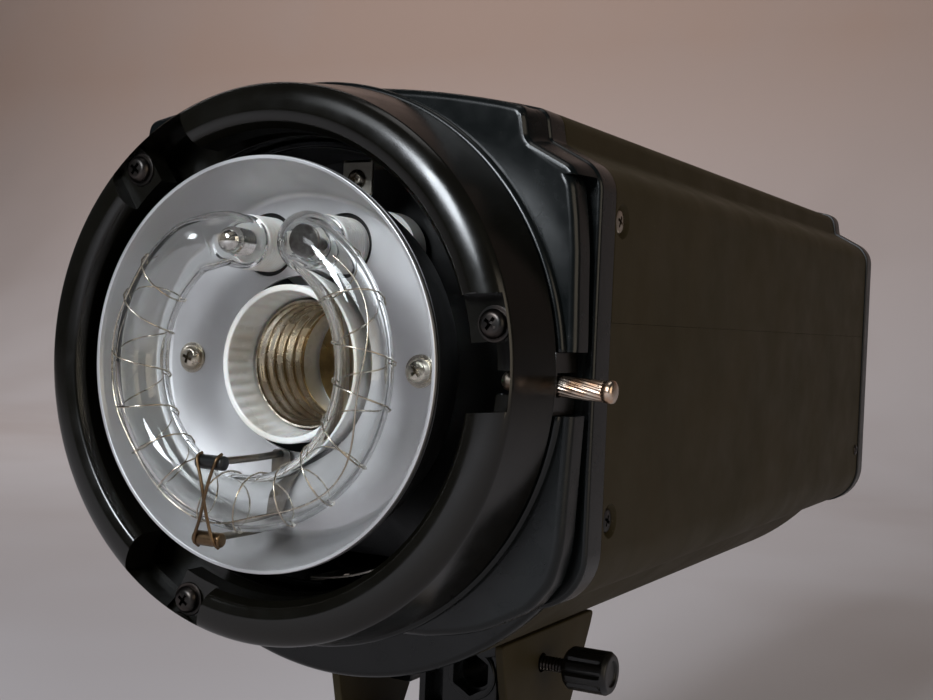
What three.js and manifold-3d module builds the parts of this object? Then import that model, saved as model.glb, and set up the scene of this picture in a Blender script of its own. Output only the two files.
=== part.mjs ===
// Monolight studio strobe on its tilting stand bracket.
// Millimetres, +Z up, +X to the right of someone facing the lamp, front facing -Y.
// The origin is the centre of the stand socket's mouth.
// The lamp is drawn about its own flash axis: there X is across, Y is depth behind the
// reflector dish's rim and Z is height above the flash axis.
import * as THREE from 'three';
import { mergeVertices } from 'three/addons/utils/BufferGeometryUtils.js';
import Module from 'manifold-3d';

// ---- driving dimensions ----
const AXIS_HEIGHT = 165;
const RIM_FORWARD = 95;
const PIVOT_DROP = 112;
const GAP = 0.3;

const RING = { outer: 62.5, draft: 60.8, mouth: 50.5, channel: 58.5, lipBack: 9.5, back: 18.2 };
const DISH = { rim: 44, floor: 38.2, depth: 17.5, hole: 19.8, wall: 0.8 };
const CASING = { front: 19.2, step: 28, chin: 34.5, back: 38, bead: 63.4, hole: 50.9 };
const SHELL = { front: 38.3, back: 284, wall: 1.5, joint: 12, hump: 73.5, humpBack: 262 };
const PANEL = { front: 284.3, back: 292, wall: 3 };
const TUBE = { ring: 29.3, plane: -2, outer: 6, inner: 4.8, legX: 10.2, legZ: 26.6, legEnd: 9 };
const HOLDER = { outer: 17.6, front: 11.6, shell: 14.4, back: 56 };
const PIN = { z: -1.2, y: 20.8, radius: 2.2, inner: 49.9, tip: 74.5, travel: 5 };
const CHEEK = { inner: 24.3, outer: 26.8 };
const UMBRELLA = { x: 16.9, z: -78.5, bore: 4.3, front: 73, back: 113, screwY: 95 };
const SOCKET = { outer: 17, bore: 8.1, depth: 36, knobZ: 20, boss: 20 };

// ---- solids ----
const wasm = await Module();
wasm.setup();

const solidOf = (geometry) => {
  const bare = geometry.index ? geometry.toNonIndexed() : geometry.clone();
  bare.deleteAttribute('normal');
  bare.deleteAttribute('uv');
  const merged = mergeVertices(bare, 1e-4);
  return new wasm.Manifold(new wasm.Mesh({
    numProp: 3,
    vertProperties: new Float32Array(merged.attributes.position.array),
    triVerts: new Uint32Array(merged.index.array),
  }));
};

const geometryOf = (solid) => {
  const mesh = solid.getMesh();
  const geometry = new THREE.BufferGeometry();
  geometry.setAttribute('position', new THREE.BufferAttribute(mesh.vertProperties, 3));
  geometry.setIndex(new THREE.BufferAttribute(mesh.triVerts, 1));
  return geometry;
};

const join = (...parts) => geometryOf(parts.map(solidOf).reduce((sum, part) => sum.add(part)));
const cut = (base, ...tools) => geometryOf(
  tools.map(solidOf).reduce((left, tool) => left.subtract(tool), solidOf(base)),
);
const keep = (base, tool) => geometryOf(solidOf(base).intersect(solidOf(tool)));

// A closed profile of [radius, depth] points turned about the Y axis.
const turned = (profile, segments = 48) => {
  const closed = [...profile, profile[0]].map(([r, y]) => new THREE.Vector2(r, y));
  const geometry = new THREE.LatheGeometry(closed, segments);
  const signedArea = closed.slice(1).reduce(
    (sum, p, i) => sum + closed[i].x * p.y - p.x * closed[i].y,
    0,
  );
  if (signedArea < 0) {
    const index = geometry.index.array;
    for (let i = 0; i < index.length; i += 3) [index[i], index[i + 1]] = [index[i + 1], index[i]];
  }
  return geometry;
};

const shapeOf = (points) => new THREE.Shape(points.map(([x, z]) => new THREE.Vector2(x, z)));

// An outline in X and Z, extruded in depth from one Y to another.
const slab = (points, front, back) => new THREE.ExtrudeGeometry(shapeOf(points), {
  depth: back - front,
  bevelEnabled: false,
}).rotateX(Math.PI / 2).translate(0, back, 0);

// An outline in Y and Z, extruded across from one X to another.
const sidePlate = (points, left, right) => new THREE.ExtrudeGeometry(shapeOf(points), {
  depth: right - left,
  bevelEnabled: false,
}).rotateX(Math.PI / 2).rotateZ(Math.PI / 2).translate(left, 0, 0);

const box = ([x0, x1], [y0, y1], [z0, z1]) => new THREE.BoxGeometry(x1 - x0, y1 - y0, z1 - z0)
  .translate((x0 + x1) / 2, (y0 + y1) / 2, (z0 + z1) / 2);

// Round bars along each axis, from one end to the other at a given centre.
const barY = (radius, y0, y1, x = 0, z = 0, segments = 24) => new THREE.CylinderGeometry(
  radius, radius, y1 - y0, segments,
).translate(x, (y0 + y1) / 2, z);
const barX = (radius, x0, x1, y = 0, z = 0, segments = 24) => new THREE.CylinderGeometry(
  radius, radius, x1 - x0, segments,
).rotateZ(Math.PI / 2).translate((x0 + x1) / 2, y, z);
const barZ = (radius, z0, z1, x = 0, y = 0, segments = 24) => new THREE.CylinderGeometry(
  radius, radius, z1 - z0, segments,
).rotateX(Math.PI / 2).translate(x, y, (z0 + z1) / 2);

const arc = (cx, cz, radius, from, to, steps) => Array.from({ length: steps + 1 }, (_, i) => {
  const angle = THREE.MathUtils.degToRad(from + (to - from) * (i / steps));
  return [cx + radius * Math.cos(angle), cz + radius * Math.sin(angle)];
});

const mirrored = (half) => [...half, ...half.map(([x, z]) => [-x, z]).reverse()
  .filter(([x]) => Math.abs(x) > 1e-6)];

// Moves every side of a closed outline inwards by the same distance.
const inset = (points, distance) => points.map((point, i) => {
  const before = points[(i + points.length - 1) % points.length];
  const after = points[(i + 1) % points.length];
  const one = new THREE.Vector2(point[0] - before[0], point[1] - before[1]).normalize();
  const two = new THREE.Vector2(after[0] - point[0], after[1] - point[1]).normalize();
  const normal = new THREE.Vector2(one.y + two.y, -(one.x + two.x)).normalize();
  const reach = distance / Math.max(0.3, normal.dot(new THREE.Vector2(one.y, -one.x)));
  return [point[0] + normal.x * reach, point[1] + normal.y * reach];
});

const paint = (color, roughness, metalness) => new THREE.MeshStandardMaterial({
  color, roughness, metalness,
});
const FINISH = {
  blackPlastic: paint(0x1b1e20, 0.5, 0),
  ringPlastic: paint(0x1c1c1c, 0.45, 0),
  glossBlack: paint(0x0c0e10, 0.2, 0),
  bodyPaint: paint(0x302a1e, 0.4, 0.5),
  aluminium: paint(0xc9cacb, 0.35, 0.9),
  ceramic: paint(0xece9e2, 0.35, 0),
  nickel: paint(0xb3aa96, 0.3, 0.95),
  darkSteel: paint(0x34342f, 0.4, 0.9),
  glass: paint(0xe8ece8, 0.05, 0),
  brass: paint(0xb08d4a, 0.35, 0.9),
  board: paint(0x1d5a35, 0.6, 0),
  sleeve: paint(0x20242b, 0.35, 0),
  greyPlastic: paint(0x3f4347, 0.5, 0),
  red: paint(0xa02018, 0.4, 0),
};

const lamp = new THREE.Group();
lamp.position.set(0, -RIM_FORWARD, AXIS_HEIGHT);
const stand = new THREE.Group();
const add = (group, name, geometry, material) => {
  const mesh = new THREE.Mesh(geometry, material);
  mesh.name = name;
  group.add(mesh);
  return mesh;
};

// ---- outlines of the body, seen from the front ----
const ARCH = { top: 63, edge: 50, drop: 227 };
const archHeight = (x) => ARCH.top - (x * x) / (2 * ARCH.drop);
const archPoints = [0, 12.5, 25, 37.5, ARCH.edge].map((x) => [x, archHeight(x)]);
const bodyHalf = [
  ...archPoints,
  [52.6, 55.4], [53.4, 50.4], [63, 45.2], [66.2, 43], [67, 39.5],
  [67, -38], [65.2, -43], [61, -47], [55.5, -50], [0, -50],
];
const BODY = mirrored(bodyHalf);
const faceHalf = [
  ...[0, 12.5, 25, 37.5].map((x) => [x, archHeight(x) - 0.7]),
  [49.5, 56.8], [51.3, 54.6], [51.8, 49.6], [60.3, 44.2], [62.6, 41], [64.4, 30], [65.2, 0],
  [63.6, -36], [61.5, -43], [57, -48.6], [46, -54.6], [33, -57.8], [0, -58],
];
const FACE = mirrored(faceHalf);
const humpCut = [[-70, -100], [-70, -49.9], [70, -49.9], [70, -100]];

// ---- bayonet mount ring ----
const POCKET = { outer: 59.9, width: 24, seat: 4.2, seatFrom: 2.2, seatWidth: 10, screw: 5.8 };
const POCKETS = ['right', 'upper', 'lower'].map((name, i) => ({ name, at: 5.5 + 120 * i }));
const ringSector = (from, to, inner, outer, front, back) => slab(
  [...arc(0, 0, inner, from, to, 3), ...arc(0, 0, outer, to, from, 4)], front, back,
);
const pocket = (middle) => ringSector(
  middle - POCKET.width / 2, middle + POCKET.width / 2, RING.mouth - 2, POCKET.outer,
  -1, RING.lipBack + 1,
);
const ringBlank = turned([
  [RING.mouth, 3], [RING.channel, 0.4], [59.8, 0.9], [60.4, 2.4], [RING.draft, 5],
  [RING.outer, RING.back], [RING.mouth, RING.back], [RING.mouth, 15],
  [RING.channel, 15], [RING.channel, RING.lipBack], [RING.mouth, RING.lipBack],
], 40);
const screwSeat = (middle) => ringSector(
  middle + POCKET.seatFrom, middle + POCKET.seatFrom + POCKET.seatWidth, RING.mouth,
  POCKET.outer + 0.5, POCKET.seat, RING.back - 1,
);
const GUARD = { from: -6.6, to: 4.8, back: 28.2 };
const pinGuard = ringSector(
  GUARD.from, GUARD.to, RING.outer - 2, RING.outer, RING.back - 0.5, GUARD.back,
);
// Open at the front near the mouth, where the pin's inner end shows.
const pinSlotZ = [PIN.z - PIN.radius - GAP, PIN.z + PIN.radius + GAP];
const pinSlot = join(
  box([RING.mouth - 2, 70], [PIN.y - PIN.radius - GAP, GUARD.back + 1], pinSlotZ),
  box([RING.mouth - 2, 58], [RING.back - 4, PIN.y], pinSlotZ),
);
const SCREW_PITCH = 56.2;
const onRing = (angle, radius = SCREW_PITCH) => {
  const turn = THREE.MathUtils.degToRad(angle);
  return [radius * Math.cos(turn), radius * Math.sin(turn)];
};
const mountRing = cut(
  join(cut(ringBlank, ...POCKETS.map(({ at }) => pocket(at))),
    ...POCKETS.map(({ at }) => screwSeat(at)), pinGuard),
  ...POCKETS.map(({ at }) => {
    const [x, z] = onRing(at + POCKET.screw);
    return barY(1.8, POCKET.seat - 1, 30, x, z, 10);
  }),
  pinSlot,
);
add(lamp, 'mount_ring', mountRing, FINISH.ringPlastic);

// A pan-head screw with a cross recess, its head on a seat at depth zero and facing -Y.
const crossScrew = (head, shank, length) => cut(
  turned([
    [0, -head * 0.62], [head * 0.55, -head * 0.55], [head * 0.9, -head * 0.25], [head, 0],
    [shank, 0], [shank, length], [0, length],
  ], 16),
  box([-head * 0.6, head * 0.6], [-head, -head * 0.3], [-head * 0.13, head * 0.13]),
  box([-head * 0.13, head * 0.13], [-head, -head * 0.3], [-head * 0.6, head * 0.6]),
);
POCKETS.forEach(({ name, at }) => {
  const [x, z] = onRing(at + POCKET.screw);
  const screw = crossScrew(3.1, 1.4, 12).translate(x, POCKET.seat - GAP, z);
  add(lamp, `ring_screw_${name}`, screw, FINISH.darkSteel);
});

// ---- well behind the ring, and the front casing ----
const PIN_REACH = PIN.y + PIN.travel + PIN.radius + 0.5;
const WELL = { outer: 50.3, inner: 48.6, front: 19.3, back: 40.3, windows: [50, -76] };
const wellWindow = (angle) => {
  const [x, z] = onRing(angle, WELL.inner);
  return barY(5.5, 24, 36, x, z, 8);
};
const innerBowl = cut(
  turned([
    [WELL.outer, WELL.front], [WELL.outer, WELL.back], [WELL.inner, WELL.back],
    [WELL.inner, WELL.front],
  ], 36),
  ...WELL.windows.map(wellWindow),
  box([WELL.inner - 1, WELL.outer + 1], [WELL.front - 1, PIN_REACH], pinSlotZ),
);
add(lamp, 'inner_bowl', innerBowl, FINISH.glossBlack);

const chinCylinder = (radius, front, back) => keep(
  barY(radius, front, back, 0, 0, 56),
  slab(humpCut, front, back),
);
const frontCasing = cut(
  join(
    slab(FACE, CASING.front + 2, CASING.step),
    barY(CASING.bead, CASING.front, CASING.step, 0, 0, 44),
    slab(inset(FACE, 1.4), CASING.step - 1, 31),
    slab(BODY, 30, CASING.back),
    chinCylinder(SHELL.hump, CASING.chin, CASING.back),
  ),
  barY(CASING.hole, 10, 50, 0, 0, 36),
  cut(
    join(
      slab(inset(FACE, 4), 25, 32),
      slab(inset(BODY, 4), 31, CASING.back + 1),
      chinCylinder(SHELL.hump - 3, CASING.chin + 3, CASING.back + 1),
    ),
    barY(CASING.hole + 3, 10, 50, 0, 0, 36),
  ),
  box([60, 70], [CASING.front - 1, PIN_REACH], [-7.6, 5.6]),
  box([50, 60.5], [CASING.front - 1, PIN_REACH], [-4, 1.6]),
);
add(lamp, 'front_casing', frontCasing, FINISH.blackPlastic);

// ---- reflector dish ----
const reflectorDish = cut(
  turned([
    [DISH.rim, 0], [DISH.rim + 0.6, 0.4], [DISH.floor + DISH.wall, DISH.depth + DISH.wall],
    [DISH.hole, DISH.depth + DISH.wall], [DISH.hole, DISH.depth],
    [DISH.floor - 1.2, DISH.depth], [DISH.floor, DISH.depth - 1], [DISH.rim - 0.8, 0.5],
  ], 36),
  ...[-1, 1].flatMap((side) => [
    barY(7.2, 10, 25, side * TUBE.legX, TUBE.legZ, 16),
    barY(1.7, 10, 25, side * 31, 0, 12),
  ]),
);
add(lamp, 'reflector_dish', reflectorDish, FINISH.aluminium);
['left', 'right'].forEach((name, i) => {
  const screw = crossScrew(3, 1.3, 6).translate((i * 2 - 1) * 31, DISH.depth - GAP, 0);
  add(lamp, `dish_screw_${name}`, screw, FINISH.nickel);
});

// ---- modelling lamp holder ----
const lampHolder = turned([
  [HOLDER.outer, HOLDER.front], [HOLDER.outer, 44.6], [25, 44.6], [25, 49], [HOLDER.outer, 49],
  [HOLDER.outer, HOLDER.back], [4, HOLDER.back], [4, 46], [15, 46], [15, 20.5],
  [16.2, HOLDER.front],
], 24);
add(lamp, 'lamp_holder', lampHolder, FINISH.ceramic);

const THREAD = { pitch: 3.6, turns: 5, start: 19.7, deep: 0.9, wall: 0.4 };
const threadWave = (offset) => Array.from({ length: THREAD.turns * 2 + 1 }, (_, i) => [
  HOLDER.shell + offset - (i % 2) * THREAD.deep,
  THREAD.start + (i * THREAD.pitch) / 2,
]);
const screwShell = turned([...threadWave(0), ...threadWave(-THREAD.wall).reverse()], 16);
add(lamp, 'lamp_screw_shell', screwShell, FINISH.nickel);
const contact = join(
  turned([[0, 42], [5, 43], [5, 43.6], [0, 43.6]], 20),
  barY(1.6, 43.3, 52, 0, 0, 12),
);
add(lamp, 'lamp_centre_contact', contact, FINISH.brass);

// ---- flash tube ----
const tubePath = (() => {
  const bendStart = 56;
  const leg = (side) => [TUBE.legEnd, 7].map((y) => (
    new THREE.Vector3(side * TUBE.legX, y, TUBE.legZ)));
  const bend = (side) => [
    new THREE.Vector3(side * (TUBE.legX + 0.7), 2.6, TUBE.legZ + 0.3),
    new THREE.Vector3(side * (TUBE.legX + 3), -0.9, TUBE.legZ - 0.9),
  ];
  const sweep = 360 - 2 * (90 - bendStart);
  const ringPoints = arc(0, 0, TUBE.ring, bendStart, bendStart - sweep, 26)
    .map(([x, z]) => new THREE.Vector3(x, TUBE.plane, z));
  return new THREE.CatmullRomCurve3([
    ...leg(1), ...bend(1), ...ringPoints, ...bend(-1).reverse(), ...leg(-1).reverse(),
  ], false, 'centripetal');
})();
const alongTube = (section, steps) => new THREE.ExtrudeGeometry(section, {
  steps, extrudePath: tubePath, curveSegments: 5,
});
const tubeSection = new THREE.Shape().absarc(0, 0, TUBE.outer, 0, Math.PI * 2);
tubeSection.holes.push(new THREE.Path().absarc(0, 0, TUBE.inner, 0, Math.PI * 2));
add(lamp, 'flash_tube', alongTube(tubeSection, 34), FINISH.glass);

['left', 'right'].forEach((name, i) => {
  const x = (i * 2 - 1) * TUBE.legX;
  const electrode = join(barY(3, 1.5, 8.6, x, TUBE.legZ, 16), barY(1.2, 8, 34, x, TUBE.legZ, 10));
  add(lamp, `electrode_${name}`, electrode, i ? FINISH.nickel : FINISH.darkSteel);
  const base = turned([
    [1.6, 9.4], [6.2, 9.4], [6.2, 33], [9, 33], [9, 37.9], [1.6, 37.9],
  ], 24).translate(x, 0, TUBE.legZ);
  add(lamp, `tube_base_${name}`, base, FINISH.ceramic);
});

// Trigger wire wound in an open helix round the glass.
const WIRE = { turns: 13, perTurn: 7, radius: 7.4, thick: 0.35 };
const wirePoints = Array.from({ length: WIRE.turns * WIRE.perTurn + 1 }, (_, i) => {
  const along = 0.16 + 0.68 * (i / (WIRE.turns * WIRE.perTurn));
  const centre = tubePath.getPointAt(along);
  const outward = new THREE.Vector3(centre.x, 0, centre.z).normalize();
  const turn = (i / WIRE.perTurn) * Math.PI * 2;
  return centre.addScaledVector(outward, WIRE.radius * Math.cos(turn))
    .add(new THREE.Vector3(0, WIRE.radius * Math.sin(turn), 0));
});
const triangleWire = (radius) => new THREE.Shape([0, 1, 2].map((i) => new THREE.Vector2(
  radius * Math.cos((i * Math.PI * 2) / 3),
  radius * Math.sin((i * Math.PI * 2) / 3),
)));
const triggerWire = new THREE.ExtrudeGeometry(triangleWire(WIRE.thick), {
  steps: WIRE.turns * WIRE.perTurn,
  extrudePath: new THREE.CatmullRomCurve3(wirePoints, false, 'centripetal'),
});
add(lamp, 'trigger_wire', triggerWire, FINISH.nickel);

// Clip that holds the bottom of the tube: two sleeved posts on a strip, and a crossed spring.
const CLIP = { inner: -20.6, outer: -36.6, front: -8.2, x: -3.5 };
const tubeClip = join(
  box([CLIP.x - 2.5, CLIP.x + 2.5], [15.9, 16.5], [-36.8, -19.4]),
  ...[CLIP.inner, CLIP.outer].map((z) => barY(0.8, CLIP.front + 1, 16.5, CLIP.x, z, 8)),
  ...[CLIP.inner, CLIP.outer].map((z) => barX(1.5, CLIP.x - 3.5, CLIP.x + 3.5, CLIP.front, z, 12)),
);
const clipBar = (x0, x1) => {
  const span = new THREE.LineCurve3(
    new THREE.Vector3(x0, CLIP.front - 2.3, CLIP.inner + 1),
    new THREE.Vector3(x1, CLIP.front - 2.3, CLIP.outer - 0.6),
  );
  return new THREE.ExtrudeGeometry(
    new THREE.Shape([[0.4, 0.4], [-0.4, 0.4], [-0.4, -0.4], [0.4, -0.4]]
      .map(([a, b]) => new THREE.Vector2(a, b))),
    { steps: 1, extrudePath: span },
  );
};
const clipSpring = join(
  clipBar(CLIP.x - 3, CLIP.x + 3),
  clipBar(CLIP.x + 3, CLIP.x - 3),
);
add(lamp, 'tube_clip', tubeClip, FINISH.darkSteel);
add(lamp, 'tube_clip_spring', clipSpring, FINISH.brass);

// Thermal sensor bracket in the well: a strip along the wall with a lip turned inwards.
const BRACKET = { x: [2, 10], front: 28, back: 40.3, top: 46.8, lip: 41, thick: 0.8 };
const sensorBracket = join(
  box(BRACKET.x, [BRACKET.front, BRACKET.back], [BRACKET.top - BRACKET.thick, BRACKET.top]),
  box(BRACKET.x, [BRACKET.front, BRACKET.front + 1], [BRACKET.lip, BRACKET.top]),
);
add(lamp, 'sensor_bracket', sensorBracket, FINISH.aluminium);

// ---- bayonet lock pin, its slider and spring ----
const lockPin = join(
  barX(PIN.radius, PIN.inner, PIN.tip - 0.6, PIN.y, PIN.z, 20),
  barX(PIN.radius - 0.5, PIN.inner - 0.8, PIN.tip, PIN.y, PIN.z, 20),
);
add(lamp, 'lock_pin', lockPin, FINISH.nickel);

const SPRING = { x: 57, radius: 1.9, wire: 0.35, turns: 7, perTurn: 6, front: 23.7, back: 40.2 };
const springPoints = Array.from({ length: SPRING.turns * SPRING.perTurn + 1 }, (_, i) => {
  const turn = (i / SPRING.perTurn) * Math.PI * 2;
  const along = i / (SPRING.turns * SPRING.perTurn);
  return new THREE.Vector3(
    SPRING.x + SPRING.radius * Math.cos(turn),
    SPRING.front + (SPRING.back - SPRING.front) * along,
    PIN.z + SPRING.radius * Math.sin(turn),
  );
});
const lockSpring = new THREE.ExtrudeGeometry(triangleWire(SPRING.wire), {
  steps: SPRING.turns * SPRING.perTurn,
  extrudePath: new THREE.CatmullRomCurve3(springPoints, false, 'centripetal'),
});
add(lamp, 'lock_spring', lockSpring, FINISH.nickel);

// ---- internal front plate ----
const mountPlate = cut(
  slab(inset(BODY, 5), 40.6, 42.2),
  barY(20, 39, 44, 0, 0, 24),
);
add(lamp, 'mount_plate', mountPlate, FINISH.aluminium);

// ---- upper cover and lower shell ----
const above = [[-80, SHELL.joint + GAP / 2], [-80, 90], [80, 90], [80, SHELL.joint + GAP / 2]];
const below = [[-80, -60], [-80, SHELL.joint - GAP / 2], [80, SHELL.joint - GAP / 2], [80, -60]];
const SIDE_SCREWS = [
  { name: 'right_upper', side: 1, z: 34 }, { name: 'right_lower', side: 1, z: -31 },
  { name: 'left_upper', side: -1, z: 34 }, { name: 'left_lower', side: -1, z: -31 },
];
const SCREW_DEPTH = 44;
const screwHoles = SIDE_SCREWS.map(({ side, z }) => barX(
  3.4, side > 0 ? 60 : -70, side > 0 ? 70 : -60, SCREW_DEPTH, z, 16,
));
const upperCover = cut(
  keep(slab(BODY, SHELL.front, SHELL.back), slab(above, 0, 400)),
  slab(inset(BODY, SHELL.wall), 0, 400),
  ...screwHoles,
);
add(lamp, 'upper_cover', upperCover, FINISH.bodyPaint);

const VENT = { count: 6, first: -25, pitch: 9, width: 5, front: 265, back: 280 };
const ventSlots = Array.from({ length: VENT.count }, (_, i) => {
  const left = VENT.first + i * VENT.pitch;
  return box([left, left + VENT.width], [VENT.front, VENT.back], [-60, -40]);
});
const lowerShell = cut(
  join(
    keep(slab(BODY, SHELL.front, SHELL.back), slab(below, 0, 400)),
    keep(barY(SHELL.hump, SHELL.front, SHELL.humpBack, 0, 0, 56), slab(humpCut, 0, 400)),
  ),
  slab(inset(BODY, SHELL.wall), 0, 400),
  keep(barY(SHELL.hump - SHELL.wall, 0, SHELL.humpBack - SHELL.wall, 0, 0, 56),
    slab([[-70, -100], [-70, -45], [70, -45], [70, -100]], 0, 400)),
  ...screwHoles,
  ...ventSlots,
);
add(lamp, 'lower_shell', lowerShell, FINISH.bodyPaint);

SIDE_SCREWS.forEach(({ name, side, z }) => {
  const screw = crossScrew(3.1, 1.4, 6).rotateZ((side * Math.PI) / 2);
  add(lamp, `side_screw_${name}`, screw.translate(side * 65.2, SCREW_DEPTH, z), FINISH.darkSteel);
});

// ---- rear panel and its controls ----
const DISPLAY = { x: 0, z: 38, w: 46, h: 20 };
const DIAL = { x: 36, z: 10, radius: 12, shaft: 3.4, proud: 13.4 };
const BUTTONS = [
  { name: 'modelling_button', x: -44 }, { name: 'slave_button', x: -26 },
  { name: 'sound_button', x: -8 },
];
const BUTTON = { z: 12, w: 13, h: 7, proud: 2 };
const TEST = { x: 40, z: 38, radius: 6 };
const SENSOR = { x: -40, z: 38, radius: 6 };
const FAN = { x: -34, z: -20, radius: 19, half: 22, front: 264, back: 282 };
const INLET = { x: 18, z: -30, w: 27, h: 20 };
const ROCKER = { x: 48, z: -30, w: 13, h: 19 };
const FUSE = { x: 48, z: -9, radius: 6 };
const JACK = { x: 18, z: -9, radius: 5.5, bore: 3.3 };
const centred = ({ x, z, w, h }, grow, y0, y1) => box(
  [x - w / 2 - grow, x + w / 2 + grow], [y0, y1], [z - h / 2 - grow, z + h / 2 + grow],
);
const panelFace = PANEL.back - PANEL.wall;
const THROUGH_PANEL = [PANEL.front - 8, PANEL.back + 4];
const grilleSlots = Array.from({ length: 7 }, (_, i) => {
  const z = FAN.z - 15 + i * 5;
  const half = Math.sqrt(FAN.radius * FAN.radius - (z - FAN.z) * (z - FAN.z));
  return box([FAN.x - half, FAN.x + half], THROUGH_PANEL, [z - 1.3, z + 1.3]);
});
const rearPanel = cut(
  slab(inset(BODY, -0.6), PANEL.front, PANEL.back),
  slab(inset(BODY, 2.4), THROUGH_PANEL[0], panelFace),
  centred(DISPLAY, GAP, ...THROUGH_PANEL),
  ...BUTTONS.map(({ x }) => centred({ ...BUTTON, x }, GAP, ...THROUGH_PANEL)),
  ...[TEST, SENSOR, FUSE, JACK].map(({ radius, x, z }) => (
    barY(radius + GAP, ...THROUGH_PANEL, x, z, 16))),
  barY(DIAL.shaft + 0.6, ...THROUGH_PANEL, DIAL.x, DIAL.z, 16),
  centred(INLET, GAP, ...THROUGH_PANEL),
  centred(ROCKER, GAP, ...THROUGH_PANEL),
  ...grilleSlots,
);
add(lamp, 'rear_panel', rearPanel, FINISH.greyPlastic);
add(lamp, 'display_window', centred(DISPLAY, 0, panelFace - 1, PANEL.back - 0.4), FINISH.glossBlack);
BUTTONS.forEach(({ name, x }) => {
  const button = centred({ ...BUTTON, x }, 0, PANEL.back - 8, PANEL.back + BUTTON.proud);
  add(lamp, name, button, FINISH.blackPlastic);
});
const testButton = barY(TEST.radius, PANEL.back - 8, PANEL.back + 2.5, TEST.x, TEST.z, 16);
add(lamp, 'test_button', testButton, FINISH.red);
const sensorDome = turned([
  [0, PANEL.back - 6], [SENSOR.radius, PANEL.back - 6], [SENSOR.radius, PANEL.back],
  [5.2, PANEL.back + 3], [3, PANEL.back + 5], [0, PANEL.back + 5.8],
], 16).translate(SENSOR.x, 0, SENSOR.z);
add(lamp, 'slave_sensor', sensorDome, FINISH.red);
const dialKnob = join(
  barY(DIAL.shaft, PANEL.back - 9, PANEL.back + 4, DIAL.x, DIAL.z, 16),
  turned([
    [0, PANEL.back + 0.6], [DIAL.radius, PANEL.back + 0.6],
    [DIAL.radius - 0.4, PANEL.back + DIAL.proud - 1.4],
    [DIAL.radius - 1.6, PANEL.back + DIAL.proud], [0, PANEL.back + DIAL.proud],
  ], 20).translate(DIAL.x, 0, DIAL.z),
);
add(lamp, 'power_dial', dialKnob, FINISH.blackPlastic);
const fuseCap = join(
  barY(FUSE.radius, PANEL.back - 20, PANEL.back + 1, FUSE.x, FUSE.z, 16),
  barY(5, PANEL.back, PANEL.back + 5, FUSE.x, FUSE.z, 16),
);
add(lamp, 'fuse_cap', fuseCap, FINISH.blackPlastic);
const syncJack = turned([
  [JACK.bore, PANEL.back - 22], [JACK.radius, PANEL.back - 22],
  [JACK.radius, PANEL.back + 1.6], [JACK.bore, PANEL.back + 1.6],
], 16).translate(JACK.x, 0, JACK.z);
add(lamp, 'sync_jack', syncJack, FINISH.nickel);
const INLET_FLOOR = PANEL.back - 19;
const inletPins = [[-7, -1], [7, -1], [0, 3]].map(([x, z]) => box(
  [INLET.x + x - 1, INLET.x + x + 1], [INLET_FLOOR - 1, PANEL.back - 6],
  [INLET.z + z - 2, INLET.z + z + 2],
));
const mainsInlet = join(
  cut(
    join(
      centred(INLET, 0, INLET_FLOOR - 3, PANEL.back),
      centred(INLET, 2, PANEL.back + GAP, PANEL.back + 2),
      centred(INLET, -1, PANEL.back - 1, PANEL.back + 2),
    ),
    centred(INLET, -2, INLET_FLOOR, PANEL.back + 4),
  ),
  ...inletPins,
);
add(lamp, 'mains_inlet', mainsInlet, FINISH.blackPlastic);
const rocker = sidePlate([
  [PANEL.back - 12, ROCKER.z - 6], [PANEL.back - 2, ROCKER.z - 8.2],
  [PANEL.back + 0.5, ROCKER.z - 8.2], [PANEL.back + 1.2, ROCKER.z],
  [PANEL.back + 3, ROCKER.z + 7.4], [PANEL.back - 2, ROCKER.z + 8.2],
  [PANEL.back - 12, ROCKER.z + 6],
], ROCKER.x - ROCKER.w / 2, ROCKER.x + ROCKER.w / 2);
add(lamp, 'power_switch', rocker, FINISH.red);

// ---- inside the body ----
const fanFrame = cut(
  box([FAN.x - FAN.half, FAN.x + FAN.half], [FAN.front, FAN.back],
    [FAN.z - FAN.half, FAN.z + FAN.half]),
  cut(
    barY(FAN.radius + 1, FAN.front - 1, FAN.back + 1, FAN.x, FAN.z, 32),
    box([FAN.x - 22, FAN.x + 22], [FAN.front - 2, FAN.front + 2], [FAN.z - 1.5, FAN.z + 1.5]),
    barY(8, FAN.front - 2, FAN.front + 2, FAN.x, FAN.z, 20),
  ),
);
add(lamp, 'fan_frame', fanFrame, FINISH.blackPlastic);
const blade = (i) => box([-1, 1], [FAN.front + 4, FAN.back - 2], [7, FAN.radius - 0.6])
  .translate(0, -(FAN.front + FAN.back) / 2, 0)
  .rotateZ(0.6)
  .translate(0, (FAN.front + FAN.back) / 2, 0)
  .rotateY((i * Math.PI * 2) / 7);
const fanRotor = join(
  barY(8, FAN.front + 3, FAN.back - 1.5, 0, 0, 20),
  ...Array.from({ length: 7 }, (_, i) => blade(i)),
).translate(FAN.x, 0, FAN.z);
add(lamp, 'fan_rotor', fanRotor, FINISH.blackPlastic);
const controlBoard = cut(
  box([-55, 56], [PANEL.back - 11.8, PANEL.back - 10.2], [4.6, 42]),
  barY(DIAL.shaft + 0.8, PANEL.back - 14, PANEL.back - 6, DIAL.x, DIAL.z, 16),
);
add(lamp, 'control_board', controlBoard, FINISH.board);
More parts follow.
